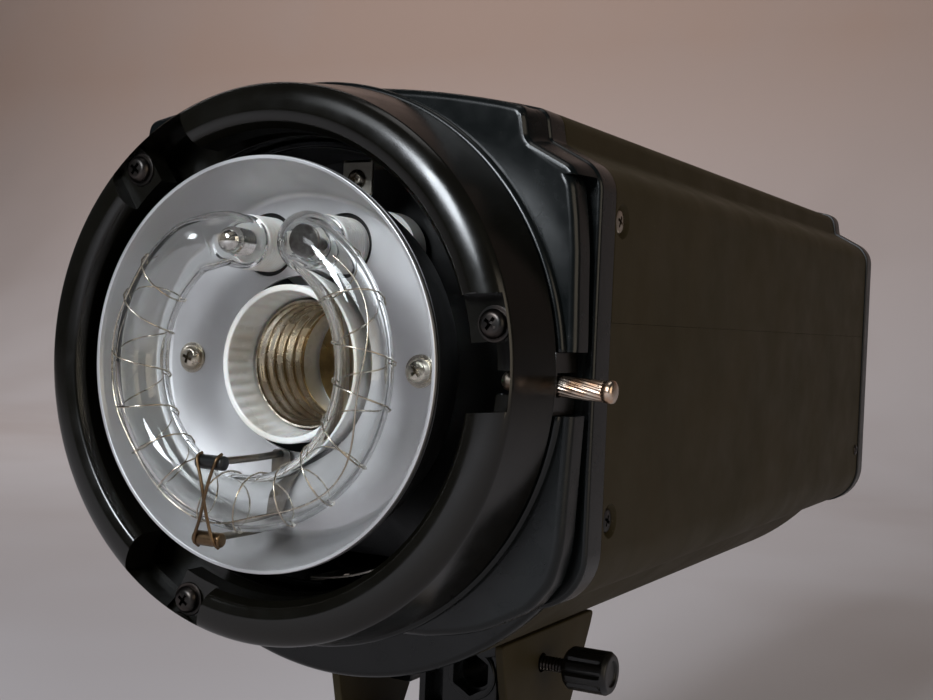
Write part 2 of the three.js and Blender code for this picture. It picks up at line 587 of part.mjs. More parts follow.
const CAN = { radius: 24, front: 136, back: 246, x: 27, z: 10, roll: 4.3 };
['left', 'right'].forEach((name, i) => {
  const can = turned([
    [0, CAN.front], [CAN.radius - 1.5, CAN.front], [CAN.radius, CAN.front + 1.5],
    [CAN.radius, CAN.front + CAN.roll - 0.8], [CAN.radius - 1, CAN.front + CAN.roll],
    [CAN.radius, CAN.front + CAN.roll + 0.8], [CAN.radius, CAN.back], [0, CAN.back],
  ], 20).translate((i * 2 - 1) * CAN.x, 0, CAN.z);
  add(lamp, `flash_capacitor_${name}`, can, FINISH.sleeve);
});
const BOARD = { half: 56, front: 60, back: 258, under: -42, thick: 1.6 };
const COIL = { half: 17, front: 88, back: 122, top: -12, pot: 12, potTop: -6 };
const boardTop = BOARD.under + BOARD.thick;
const mainBoard = box([-BOARD.half, BOARD.half], [BOARD.front, BOARD.back], [BOARD.under, boardTop]);
add(lamp, 'main_board', mainBoard, FINISH.board);
const transformer = join(
  box([-COIL.half, COIL.half], [COIL.front, COIL.back], [boardTop + GAP, COIL.top]),
  barZ(COIL.pot, COIL.top - 1, COIL.potTop, 0, (COIL.front + COIL.back) / 2, 20),
);
add(lamp, 'trigger_transformer', transformer, FINISH.greyPlastic);

// ---- bracket: casting under the belly, cheeks and umbrella clamp ----
const bellyClear = SHELL.hump + GAP;
const CASTING = { half: 24, top: 3, back: 128, bottom: -92, boss: 6.9, hexagon: 5.8 };
const castingRun = [UMBRELLA.front - 10, CASTING.back + 10];
const bracketBlock = cut(
  join(
    keep(barY(bellyClear + CASTING.top, UMBRELLA.front, CASTING.back, 0, 0, 56),
      box([-CASTING.half, CASTING.half], castingRun, [-90, -60])),
    box([1, CASTING.half], [UMBRELLA.front + 1, UMBRELLA.back], [CASTING.bottom, -70]),
    barY(CASTING.boss, UMBRELLA.front, UMBRELLA.front + 4, UMBRELLA.x, UMBRELLA.z, 28),
    box([-CASTING.half, -16], [100, 110], [CASTING.bottom, -70]),
  ),
  barY(bellyClear, ...castingRun, 0, 0, 56),
  barY(UMBRELLA.bore, ...castingRun, UMBRELLA.x, UMBRELLA.z, 24),
  barY(CASTING.hexagon, castingRun[0], UMBRELLA.front + 3.5, UMBRELLA.x, UMBRELLA.z, 6),
  box([3, 8.5], [castingRun[0], UMBRELLA.front + 6], [-89, -76]),
  barX(3.3, 18, 30, UMBRELLA.screwY, UMBRELLA.z, 16),
);
add(lamp, 'bracket_block', bracketBlock, FINISH.blackPlastic);

const cheekOutline = [
  [71, -69.9], [79.5, -104], ...arc(RIM_FORWARD, -PIVOT_DROP, 14, 152, 386, 12),
  [127, -74], [129, -69.9],
];
const cheek = (side, ...holes) => cut(
  sidePlate(cheekOutline, side > 0 ? CHEEK.inner : -CHEEK.outer,
    side > 0 ? CHEEK.outer : -CHEEK.inner),
  barX(4.3, -40, 40, RIM_FORWARD, -PIVOT_DROP, 20),
  ...holes,
);
const screwPassage = barX(2.6, 20, 30, UMBRELLA.screwY, UMBRELLA.z, 16);
add(lamp, 'bracket_cheek_right', cheek(1, screwPassage), FINISH.bodyPaint);
add(lamp, 'bracket_cheek_left', cheek(-1), FINISH.bodyPaint);

const fluted = (radius, x0, x1, y, z, flutes) => cut(
  join(
    barX(radius, x0 + 1, x1 - 1, y, z, 20),
    barX(radius - 0.9, x0, x1, y, z, 20),
  ),
  ...Array.from({ length: flutes }, (_, i) => {
    const turn = (i * Math.PI * 2) / flutes;
    return barX(0.75, x0 - 1, x1 - 1.8, y + radius * Math.cos(turn),
      z + radius * Math.sin(turn), 4);
  }),
);
const umbrellaKnob = join(
  fluted(5.7, 34.3, 46.8, UMBRELLA.screwY, UMBRELLA.z, 10),
  barX(2, 23.3, 36, UMBRELLA.screwY, UMBRELLA.z, 16),
);
add(lamp, 'umbrella_knob', umbrellaKnob, FINISH.blackPlastic);
const umbrellaPad = barX(2.9, 21.6, 23, UMBRELLA.screwY, UMBRELLA.z, 16);
add(lamp, 'umbrella_pad', umbrellaPad, FINISH.brass);

// ---- tilt pivot and stand socket ----
const PIVOT_Z = AXIS_HEIGHT - PIVOT_DROP;
const PIVOT = { barrel: 14, half: 23.7, hole: 4.3, bolt: 4, head: 5.6, nut: 7.2 };
const tiltHead = cut(
  join(
    barX(PIVOT.barrel, -PIVOT.half, PIVOT.half, 0, PIVOT_Z, 28),
    barZ(SOCKET.outer, 0, PIVOT_Z - 4, 0, 0, 28),
    barX(9, 10, SOCKET.boss, 0, SOCKET.knobZ, 24),
  ),
  barZ(SOCKET.bore, -1, SOCKET.depth, 0, 0, 24),
  barX(PIVOT.hole, -30, 30, 0, PIVOT_Z, 20),
  barX(3.9, 0, 30, 0, SOCKET.knobZ, 16),
);
add(stand, 'tilt_head', tiltHead, FINISH.blackPlastic);
const tiltBolt = join(
  barX(PIVOT.bolt, -31, 34, 0, PIVOT_Z, 20),
  barX(PIVOT.head, -31, -27.2, 0, PIVOT_Z, 6),
);
add(stand, 'tilt_bolt', tiltBolt, FINISH.nickel);
const tiltNut = cut(
  barX(PIVOT.nut, CHEEK.outer + GAP, 32, 0, PIVOT_Z, 6),
  barX(PIVOT.hole, 20, 40, 0, PIVOT_Z, 20),
);
add(stand, 'tilt_nut', tiltNut, FINISH.nickel);
const LEVER = { hub: 9.5, inner: -43, outer: -31.4, length: 52, droop: 0.9 };
const tiltLever = join(
  barX(LEVER.hub, LEVER.inner, LEVER.outer, 0, PIVOT_Z, 28),
  sidePlate([
    [0, 7], [LEVER.length - 4, 5], [LEVER.length, 2], [LEVER.length, -3],
    [LEVER.length - 4, -6], [0, -7],
  ], -42, -34).rotateX(-LEVER.droop).translate(0, 0, PIVOT_Z),
);
add(stand, 'tilt_lever', tiltLever, FINISH.blackPlastic);

const standKnob = join(
  fluted(11, 23, 38, 0, SOCKET.knobZ, 10),
  barX(3.5, 11, 25, 0, SOCKET.knobZ, 16),
);
add(stand, 'stand_knob', standKnob, FINISH.blackPlastic);
const standPad = barX(3.4, 8.6, 10.7, 0, SOCKET.knobZ, 16);
add(stand, 'stand_pad', standPad, FINISH.brass);

const monolight = new THREE.Group();
monolight.add(lamp, stand);
export default monolight;
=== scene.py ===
# Looks of a monolight studio strobe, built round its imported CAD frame.
# Shapes are drawn in lamp millimetres: X is across, Y is depth behind the reflector
# dish's rim and Z is height above the flash axis.
import math
import random

import bmesh
import bpy
from mathutils import Matrix, Vector


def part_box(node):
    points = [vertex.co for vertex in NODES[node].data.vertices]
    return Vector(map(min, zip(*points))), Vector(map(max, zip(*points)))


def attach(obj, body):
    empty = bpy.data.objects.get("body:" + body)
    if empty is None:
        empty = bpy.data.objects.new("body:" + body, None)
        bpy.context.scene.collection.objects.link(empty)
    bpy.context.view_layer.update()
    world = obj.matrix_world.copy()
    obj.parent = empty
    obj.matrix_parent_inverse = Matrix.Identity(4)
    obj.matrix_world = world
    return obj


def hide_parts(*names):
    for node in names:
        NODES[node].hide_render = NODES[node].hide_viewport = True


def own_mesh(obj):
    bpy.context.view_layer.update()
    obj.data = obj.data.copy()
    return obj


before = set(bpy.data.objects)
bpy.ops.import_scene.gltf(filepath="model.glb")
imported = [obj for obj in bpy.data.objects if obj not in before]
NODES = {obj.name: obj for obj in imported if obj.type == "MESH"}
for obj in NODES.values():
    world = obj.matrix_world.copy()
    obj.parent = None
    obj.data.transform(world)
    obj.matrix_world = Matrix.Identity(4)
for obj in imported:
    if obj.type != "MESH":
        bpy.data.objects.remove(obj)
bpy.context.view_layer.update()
MM = 0.001
TAU = 2 * math.pi

dish_low, dish_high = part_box("reflector_dish")
RIM = Vector((
    (dish_low.x + dish_high.x) / 2, dish_low.y, (dish_low.z + dish_high.z) / 2,
))
PIVOT = Vector((0.0, -RIM.y / MM, -112.0))
AXLE = (PIVOT.y, PIVOT.z)


# ---------------------------------------------------------------- outlines
def fillet(points, step=12.0):
    """Rounds the corners of an outline of (x, z) or (x, z, radius) points."""
    out = []
    count = len(points)
    for i, point in enumerate(points):
        here = Vector(point[:2])
        radius = point[2] if len(point) > 2 else 0.0
        if radius <= 0:
            out.append(tuple(here))
            continue
        before = Vector(points[i - 1][:2]) - here
        after = Vector(points[(i + 1) % count][:2]) - here
        one, two = before.normalized(), after.normalized()
        half = math.acos(max(-1.0, min(1.0, one.dot(two)))) / 2
        if half > math.radians(89.5):
            out.append(tuple(here))
            continue
        reach = min(radius / math.tan(half), 0.49 * before.length, 0.49 * after.length)
        radius = reach * math.tan(half)
        centre = here + (one + two).normalized() * (radius / math.sin(half))
        arm = here + one * reach - centre
        turn = math.pi - 2 * half
        if arm.cross(here + two * reach - centre) < 0:
            turn = -turn
        steps = max(1, round(abs(math.degrees(turn)) / step))
        for k in range(steps + 1):
            c, s = math.cos(turn * k / steps), math.sin(turn * k / steps)
            out.append((centre.x + arm.x * c - arm.y * s, centre.y + arm.x * s + arm.y * c))
    return out


def area(points):
    return sum(
        a[0] * b[1] - b[0] * a[1] for a, b in zip(points, points[1:] + points[:1])
    ) / 2


def inset(points, distance):
    """Moves every side of a closed outline inwards by the same distance."""
    sign = 1 if area(points) > 0 else -1
    count = len(points)
    out = []
    for i, point in enumerate(points):
        here = Vector(point)
        one = (here - Vector(points[i - 1])).normalized()
        two = (Vector(points[(i + 1) % count]) - here).normalized()
        normal = Vector((-(one.y + two.y), one.x + two.x)).normalized() * sign
        reach = distance / max(0.35, abs(normal.dot(Vector((-one.y, one.x)))))
        out.append((here.x + normal.x * reach, here.y + normal.y * reach))
    return out


def mirrored(half):
    """A closed outline from its right half, listed from the top centre to the bottom."""
    left = [(-p[0], *p[1:]) for p in reversed(half) if abs(p[0]) > 1e-6]
    return [*half, *left]


def rounded(width, height, radius, centre=(0.0, 0.0)):
    x, z = width / 2, height / 2
    return fillet([
        (centre[0] + a * x, centre[1] + b * z, radius)
        for a, b in ((-1, -1), (1, -1), (1, 1), (-1, 1))
    ], step=15)


def arc(radius, start, end, steps, centre=(0.0, 0.0)):
    return [
        (centre[0] + radius * math.cos(math.radians(start + (end - start) * i / steps)),
         centre[1] + radius * math.sin(math.radians(start + (end - start) * i / steps)))
        for i in range(steps + 1)
    ]


# ---------------------------------------------------------------- forms: (points, faces)
def joined(*forms):
    points, faces = [], []
    for form_points, form_faces in forms:
        base = len(points)
        points += form_points
        faces += [tuple(base + i for i in face) for face in form_faces]
    return points, faces


def moved(form, offset=(0.0, 0.0, 0.0), turn=None):
    shift = Vector(offset)
    if turn is None:
        return [tuple(Vector(p) + shift) for p in form[0]], form[1]
    return [tuple(turn @ Vector(p) + shift) for p in form[0]], form[1]


TO_X = Matrix.Rotation(-math.pi / 2, 3, "Z")
TO_Z = Matrix.Rotation(math.pi / 2, 3, "X")


def placed(form, centre, turn=None):
    """A form drawn round the Y axis, taken to a place in X and Z."""
    return moved(form, (centre[0], 0.0, centre[1]), turn)


def across(form, centre):
    """The same, laid along X and taken to a place in Y and Z."""
    return moved(form, (0.0, centre[0], centre[1]), TO_X)


def turned(profile, segments=96, ripple=None):
    """Turns a closed profile of (radius, depth) points about the Y axis."""
    points, rings = [], []
    for radius, depth in profile:
        if radius < 1e-5:
            rings.append([len(points)] * segments)
            points.append((0.0, depth, 0.0))
            continue
        rings.append(list(range(len(points), len(points) + segments)))
        for k in range(segments):
            angle = TAU * k / segments
            r = ripple(radius, depth, angle) if ripple else radius
            points.append((r * math.cos(angle), depth, r * math.sin(angle)))
    faces = []
    for one, two in zip(rings, rings[1:] + rings[:1]):
        for k in range(segments):
            m = (k + 1) % segments
            face = list(dict.fromkeys((one[k], one[m], two[m], two[k])))
            if len(face) > 2:
                faces.append(tuple(face))
    return points, faces


def skinned(rings):
    """Outlines in X and Z, each at its own depth, joined in order and closed at both ends."""
    points, faces = [], []
    count = len(rings[0][0])
    for outline, depth in rings:
        points += [(x, depth, z) for x, z in outline]
    for level in range(len(rings) - 1):
        base = level * count
        for k in range(count):
            m = (k + 1) % count
            faces.append((base + k, base + m, base + count + m, base + count + k))
    faces.append(tuple(range(count)))
    faces.append(tuple(range(len(points) - count, len(points))))
    return points, faces


def lofted(outline, levels):
    """One outline through (shrink, depth) levels."""
    return skinned([(inset(outline, shrink) if shrink > 1e-6 else outline, depth)
                    for shrink, depth in levels])


def slab(outline, low, high, front=0.0, back=0.0, steps=3):
    """An outline in X and Z run from one depth to another, its end edges rounded."""
    levels = []
    for amount, end, inward in ((front, low, 1), (back, high, -1)):
        count = steps if amount else 0
        part = [
            (amount * (1 - math.sin(math.pi / 2 * k / count)),
             end + inward * amount * (1 - math.cos(math.pi / 2 * k / count)))
            for k in range(count + 1)
        ] if count else [(0.0, end)]
        levels += part if inward > 0 else part[::-1]
    return lofted(outline, levels)


def side_slab(outline, low, high, front=0.0, back=0.0, steps=3):
    """The same for an outline in Y and Z, run across from one X to another."""
    points, faces = slab(outline, low, high, front, back, steps)
    return [(depth, y, z) for y, depth, z in points], faces


def bar(radius, low, high, centre=(0.0, 0.0), axis="y", edge=0.3, segments=48):
    """A round bar with softened ends; centre is in the other two axes, in order."""
    profile = fillet([
        (0.0, low), (radius, low, edge), (radius, high, edge), (0.0, high),
    ], step=30)
    form = turned(profile, segments)
    return across(form, centre) if axis == "x" else placed(form, centre)


def block(xs, ys, zs, radius=0.6, edge=0.4):
    outline = rounded(xs[1] - xs[0], zs[1] - zs[0], radius,
                      ((xs[0] + xs[1]) / 2, (zs[0] + zs[1]) / 2))
    return slab(outline, ys[0], ys[1], edge, edge, steps=2)


def tool_box(xs, ys, zs):
    return slab([(xs[0], zs[0]), (xs[1], zs[0]), (xs[1], zs[1]), (xs[0], zs[1])], *ys)


def spline(points, per_span=8):
    """A smooth line through points, with centripetal spacing."""
    pts = [Vector(p) for p in points]
    pts = [pts[0] * 2 - pts[1], *pts, pts[-1] * 2 - pts[-2]]
    out = []
    for i in range(1, len(pts) - 2):
        a, b, c, d = pts[i - 1:i + 3]
        t = [0.0]
        for p, q in ((a, b), (b, c), (c, d)):
            t.append(t[-1] + max(1e-6, math.sqrt((q - p).length)))
        for k in range(per_span):
            s = t[1] + (t[2] - t[1]) * k / per_span
            ab = a.lerp(b, (s - t[0]) / (t[1] - t[0]))
            bc = b.lerp(c, (s - t[1]) / (t[2] - t[1]))
            cd = c.lerp(d, (s - t[2]) / (t[3] - t[2]))
            abc = ab.lerp(bc, (s - t[0]) / (t[2] - t[0]))
            bcd = bc.lerp(cd, (s - t[1]) / (t[3] - t[1]))
            out.append(abc.lerp(bcd, (s - t[1]) / (t[2] - t[1])))
    out.append(pts[-2])
    return out


def frames_along(path):
    """Points with two normals each, carried along without twist."""
    tangents = [
        (path[min(i + 1, len(path) - 1)] - path[max(i - 1, 0)]).normalized()
        for i in range(len(path))
    ]
    normal = tangents[0].orthogonal().normalized()
    out = []
    for point, tangent in zip(path, tangents):
        normal = (normal - tangent * normal.dot(tangent)).normalized()
        out.append((point, normal, tangent.cross(normal)))
    return out


def sweep(path, radius, sides=12, hollow=0.0):
    """A round bar or tube along a path."""
    places = frames_along([Vector(p) for p in path])
    points, faces = [], []

    def skin(r):
        base = len(points)
        for point, one, two in places:
            for k in range(sides):
                angle = TAU * k / sides
                points.append(tuple(
                    point + one * r * math.cos(angle) + two * r * math.sin(angle)))
        for i in range(len(places) - 1):
            for k in range(sides):
                m = (k + 1) % sides
                a, b = base + i * sides, base + (i + 1) * sides
                faces.append((a + k, a + m, b + m, b + k))
        return base, base + (len(places) - 1) * sides

    first, last = skin(radius)
    if hollow:
        inner_first, inner_last = skin(hollow)
        for outer, inner in ((first, inner_first), (last, inner_last)):
            for k in range(sides):
                m = (k + 1) % sides
                faces.append((outer + k, outer + m, inner + m, inner + k))
    else:
        faces.append(tuple(range(first, first + sides)))
        faces.append(tuple(range(last, last + sides)))
    return points, faces


# ---------------------------------------------------------------- meshes and booleans
def mesh_of(name, form, scale=1.0, origin=Vector((0, 0, 0))):
    mesh = bpy.data.meshes.new(name)
    mesh.from_pydata([tuple(Vector(p) * scale + origin) for p in form[0]], [], form[1])
    bm = bmesh.new()
    bm.from_mesh(mesh)
    bmesh.ops.remove_doubles(bm, verts=bm.verts, dist=2e-4 * scale)
    bmesh.ops.dissolve_degenerate(bm, edges=bm.edges, dist=1e-5 * scale)
    bmesh.ops.recalc_face_normals(bm, faces=bm.faces)
    bm.to_mesh(mesh)
    bm.free()
    return mesh


def linked(name, mesh):
    thing = bpy.data.objects.new(name, mesh)
    bpy.context.scene.collection.objects.link(thing)
    return thing


def carve(base, *tools, how="DIFFERENCE"):
    """Cuts tools from a form, or joins or crosses them with it, as real solids."""
    target = linked("work", mesh_of("work", base))
    helpers = [linked("tool", mesh_of("tool", tool)) for tool in tools]
    for helper in helpers:
        modifier = target.modifiers.new("cut", "BOOLEAN")
        modifier.object = helper
        modifier.operation = how
        modifier.solver = "EXACT"
    graph = bpy.context.evaluated_depsgraph_get()
    mesh = bpy.data.meshes.new_from_object(target.evaluated_get(graph))
    form = ([tuple(v.co) for v in mesh.vertices], [tuple(p.vertices) for p in mesh.polygons])
    for thing in (target, *helpers):
        bpy.data.objects.remove(thing)
    return form


def welded(base, *more):
    return carve(base, *more, how="UNION")


def piece(name, form, shader, body="lamp", replaces=None, sharp=32.0, bevel=0.0):
    """Turns a form into a finished object that rides on a body."""
    thing = linked(name, mesh_of(name, form, MM, RIM))
    if bevel:
        modifier = thing.modifiers.new("edges", "BEVEL")
        modifier.width = bevel * MM
        modifier.segments = 2
        modifier.limit_method = "ANGLE"
        modifier.angle_limit = math.radians(38)
        modifier.use_clamp_overlap = True
        graph = bpy.context.evaluated_depsgraph_get()
        mesh = bpy.data.meshes.new_from_object(thing.evaluated_get(graph))
        thing.modifiers.clear()
        thing.data = mesh
    thing.data.polygons.foreach_set("use_smooth", [True] * len(thing.data.polygons))
    thing.data.set_sharp_from_angle(angle=math.radians(sharp))
    weighted = thing.modifiers.new("normals", "WEIGHTED_NORMAL")
    weighted.keep_sharp = True
    weighted.weight = 60
    thing.data.materials.clear()
    thing.data.materials.append(shader.material)
    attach(thing, body)
    if replaces:
        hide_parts(replaces)
    return thing


# ---------------------------------------------------------------- materials
class Shader:
    """A node material with a principled surface and small helpers for its detail."""

    def __init__(self, name, colour, roughness, metallic=0.0, **sockets):
        self.material = bpy.data.materials.new(name)
        self.material.use_nodes = True
        self.tree = self.material.node_tree
        self.surface = self.tree.nodes["Principled BSDF"]
        self.put("Base Color", (*colour, 1.0))
        self.put("Roughness", roughness)
        self.put("Metallic", metallic)
        for socket, value in sockets.items():
            self.put(socket.replace("_", " "), value)
        self.shown, self.roughness = colour, roughness
        self.where = self.node("ShaderNodeTexCoord").outputs["Object"]
        self.normal = None

    def put(self, socket, value):
        self.surface.inputs[socket].default_value = value

    def node(self, kind, values=None, **settings):
        made = self.tree.nodes.new(kind)
        for key, value in settings.items():
            setattr(made, key, value)
        for key, value in (values or {}).items():
            if isinstance(value, bpy.types.NodeSocket):
                self.tree.links.new(value, made.inputs[key])
            else:
                made.inputs[key].default_value = value
        return made

    def link(self, source, socket):
        self.tree.links.new(source, self.surface.inputs[socket])

    def noise(self, scale, detail=3.0, rough=0.55, vector=None):
        return self.node("ShaderNodeTexNoise", {
            "Vector": vector or self.where, "Scale": scale, "Detail": detail,
            "Roughness": rough,
        }).outputs["Fac"]

    def span(self, source, low, high, to_low=0.0, to_high=1.0):
        return self.node("ShaderNodeMapRange", {
            "Value": source, "From Min": low, "From Max": high, "To Min": to_low,
            "To Max": to_high,
        }).outputs["Result"]

    def mix(self, factor, one, two):
        made = self.node("ShaderNodeMix", data_type="RGBA")
        for socket, value in ((made.inputs[0], factor), (made.inputs[6], one),
                              (made.inputs[7], two)):
            if isinstance(value, bpy.types.NodeSocket):
                self.tree.links.new(value, socket)
            else:
                socket.default_value = (*value, 1.0) if isinstance(value, tuple) else value
        return made.outputs[2]

    def bump(self, source, strength, depth_mm):
        made = self.node("ShaderNodeBump", {
            "Height": source, "Strength": strength, "Distance": depth_mm * MM,
        })
        if self.normal:
            self.tree.links.new(self.normal, made.inputs["Normal"])
        self.normal = made.outputs["Normal"]
        self.link(self.normal, "Normal")
        return self

    def mottled(self, other, scale, low=0.35, high=0.65):
        """Lets another colour show through in soft patches."""
        self.shown = self.mix(self.span(self.noise(scale), low, high), self.shown, other)
        self.link(self.shown, "Base Color")
        return self

    def uneven(self, scale, amount):
        """Varies the roughness in soft patches."""
        low, high = max(0.03, self.roughness - amount), self.roughness + amount
        self.link(self.span(self.noise(scale), 0.3, 0.7, low, high), "Roughness")
        return self

    def grain(self, scale, strength, depth_mm, detail=2.0):
        return self.bump(self.noise(scale, detail, 0.6), strength, depth_mm)

    def dust(self, colour, scale, amount=0.06):
        """Scatters fine pale specks."""
        cells = self.node("ShaderNodeTexVoronoi", {
            "Vector": self.where, "Scale": scale, "Randomness": 1.0,
        }).outputs["Distance"]
        rare = self.span(self.noise(scale * 0.37, 1.0), 0.6, 0.64)
        both = self.node("ShaderNodeMath", {0: self.span(cells, amount, amount * 0.5), 1: rare},
                         operation="MULTIPLY")
        self.shown = self.mix(both.outputs[0], self.shown, colour)
        self.link(self.shown, "Base Color")
        return self

    def about(self, centre):
        """Turns places into (distance from the Y axis through a centre, depth along it)."""
        away = self.node("ShaderNodeVectorMath", {0: self.where, 1: centre},
                         operation="SUBTRACT").outputs[0]
        flat = self.node("ShaderNodeVectorMath", {0: away, 1: (1, 0, 1)},
                         operation="MULTIPLY").outputs[0]
        reach = self.node("ShaderNodeVectorMath", {0: flat}, operation="LENGTH").outputs["Value"]
        deep = self.node("ShaderNodeSeparateXYZ", {"Vector": away}).outputs["Y"]
        return self.node("ShaderNodeCombineXYZ", {"X": reach, "Y": deep}).outputs["Vector"]


def satin_plastic(name, colour, roughness, other, shine=0.5, grain=2600.0, bump=0.12):
    shader = Shader(name, colour, roughness, Specular_IOR_Level=shine)
    shader.mottled(other, 55.0).uneven(130.0, 0.05).grain(grain, bump, 0.05)
    return shader


RING = satin_plastic("ring_plastic", (0.0030, 0.0027, 0.0018), 0.21, (0.004, 0.0036, 0.0024),
                     shine=0.42)
RING.dust((0.12, 0.11, 0.09), 900.0)
CASING = satin_plastic("casing_plastic", (0.0022, 0.0034, 0.0036), 0.25,
                       (0.0038, 0.005, 0.0052), shine=0.34)
CASING.dust((0.13, 0.12, 0.11), 700.0)
CONTROL = satin_plastic("control_plastic", (0.003, 0.0032, 0.0035), 0.36, (0.006, 0.006, 0.0055))
BODY_PAINT = Shader("body_paint", (0.036, 0.029, 0.0145), 0.55, Specular_IOR_Level=0.10)
BODY_PAINT.mottled((0.043, 0.034, 0.018), 34.0).uneven(60.0, 0.06)
BODY_PAINT.grain(1500.0, 0.22, 0.09).dust((0.20, 0.17, 0.12), 620.0)
GLOSS = Shader("gloss_black", (0.002, 0.003, 0.004), 0.2)
GLOSS.uneven(90.0, 0.05).grain(300.0, 0.05, 0.08)
DISH = Shader("dish_aluminium", (0.66, 0.66, 0.67), 0.42, 0.88)
SPIN = DISH.about(RIM)
DISH.mottled((0.59, 0.585, 0.585), 45.0).uneven(40.0, 0.08)
DISH.bump(DISH.noise(5200.0, 2.0, 0.5, SPIN), 0.16, 0.03)
PLATE = Shader("plate_aluminium", (0.66, 0.62, 0.54), 0.38, 1.0)
PLATE.mottled((0.5, 0.45, 0.37), 60.0).grain(1200.0, 0.15, 0.04)
CERAMIC = Shader("ceramic", (0.90, 0.90, 0.88), 0.30, 0.0, Subsurface_Weight=0.12)
CERAMIC.put("Subsurface Scale", 0.0012)
CERAMIC.mottled((0.74, 0.70, 0.62), 70.0).uneven(90.0, 0.08).grain(900.0, 0.08, 0.06)
NICKEL = Shader("nickel", (0.62, 0.58, 0.50), 0.25, 1.0)
NICKEL.mottled((0.44, 0.37, 0.28), 160.0).uneven(220.0, 0.09).grain(2400.0, 0.06, 0.02)
CHROME = Shader("chrome", (0.72, 0.71, 0.69), 0.10, 1.0)
CHROME.mottled((0.60, 0.58, 0.55), 300.0).uneven(260.0, 0.05)
DARK_STEEL = Shader("dark_steel", (0.13, 0.125, 0.115), 0.36, 1.0)
DARK_STEEL.mottled((0.22, 0.19, 0.15), 300.0).uneven(260.0, 0.08).grain(2600.0, 0.1, 0.03)
COPPERED = Shader("coppered_nickel", (0.66, 0.56, 0.47), 0.26, 1.0)
COPPERED.mottled((0.60, 0.36, 0.22), 210.0, 0.42, 0.62).uneven(220.0, 0.08)
COPPERED.grain(2400.0, 0.08, 0.02)
BLACK_STEEL = Shader("black_steel", (0.030, 0.029, 0.028), 0.34, 1.0)
BLACK_STEEL.mottled((0.06, 0.05, 0.045), 300.0).grain(2600.0, 0.1, 0.03)
TUNGSTEN = Shader("tungsten", (0.30, 0.29, 0.28), 0.30, 1.0)
TUNGSTEN.mottled((0.17, 0.15, 0.14), 500.0).grain(3000.0, 0.15, 0.03)
BRASS = Shader("brass", (0.50, 0.36, 0.16), 0.34, 1.0)
BRASS.mottled((0.26, 0.18, 0.09), 260.0).uneven(200.0, 0.1)
BRONZE = Shader("bronze", (0.20, 0.13, 0.07), 0.34, 1.0)
BRONZE.mottled((0.10, 0.065, 0.04), 260.0).uneven(200.0, 0.1)
GLASS = Shader("tube_glass", (0.98, 0.99, 0.985), 0.0, 0.0, Transmission_Weight=1.0)
GLASS.put("IOR", 1.47)
GLASS.link(GLASS.span(GLASS.noise(120.0), 0.55, 0.8, 0.0, 0.06), "Roughness")
RED = Shader("red_plastic", (0.42, 0.025, 0.018), 0.25)
RED.mottled((0.33, 0.015, 0.012), 70.0).grain(1800.0, 0.06, 0.04)
LENS = Shader("red_lens", (0.50, 0.02, 0.015), 0.08, 0.0, Transmission_Weight=0.55)
LENS.mottled((0.40, 0.012, 0.01), 200.0)
BOARD = Shader("circuit_board", (0.018, 0.11, 0.045), 0.42)
BOARD.mottled((0.03, 0.17, 0.06), 260.0, 0.48, 0.52).grain(700.0, 0.2, 0.06)
SLEEVE = Shader("capacitor_sleeve", (0.02, 0.025, 0.055), 0.3)
SLEEVE.mottled((0.03, 0.035, 0.07), 40.0).grain(300.0, 0.08, 0.1)


# ---------------------------------------------------------------- outlines of the body
ARCH_TOP, ARCH_RADIUS, SIDE = 63.0, 227.0, 65.6


def arch_height(x, drop=0.0):
    return ARCH_TOP - x * x / (2 * ARCH_RADIUS) - drop


BODY = fillet(mirrored([
    *[(x, arch_height(x)) for x in (0, 5, 10, 15, 20, 25, 30, 35, 40, 45)],
    (52.3, 56.9, 3.6), (53.4, 50.4, 1.3), (SIDE, 43.8, 7.6), (SIDE, -50, 13), (0, -50),
]), step=8)
FACE = fillet(mirrored([
    *[(x, arch_height(x, 0.7)) for x in (0, 5, 10, 15, 20, 25, 30, 35, 40, 45)],
    (50.9, 56.5, 3.0), (51.8, 49.6, 1.3), (60.6, 44.0, 5), (62.9, 40.2, 6), (64.4, 30, 60),
    (65.2, 0, 200), (63.6, -36, 30), (61.5, -43, 10), (57, -48.6, 10), (46, -54.6, 30),
    (33, -57.8, 60), (0, -58),
]), step=8)
HUMP_RADIUS = 73.5


def belly(radius, chord=-49.0):
    """The part of a circle under a chord, as a closed outline."""
    half = math.degrees(math.acos(-chord / radius))
    return arc(radius, -90 - half, -90 + half, 48)


def disc(radius, low, high, segments=160):
    return turned([(0.0, low), (radius, low), (radius, high), (0.0, high)], segments)


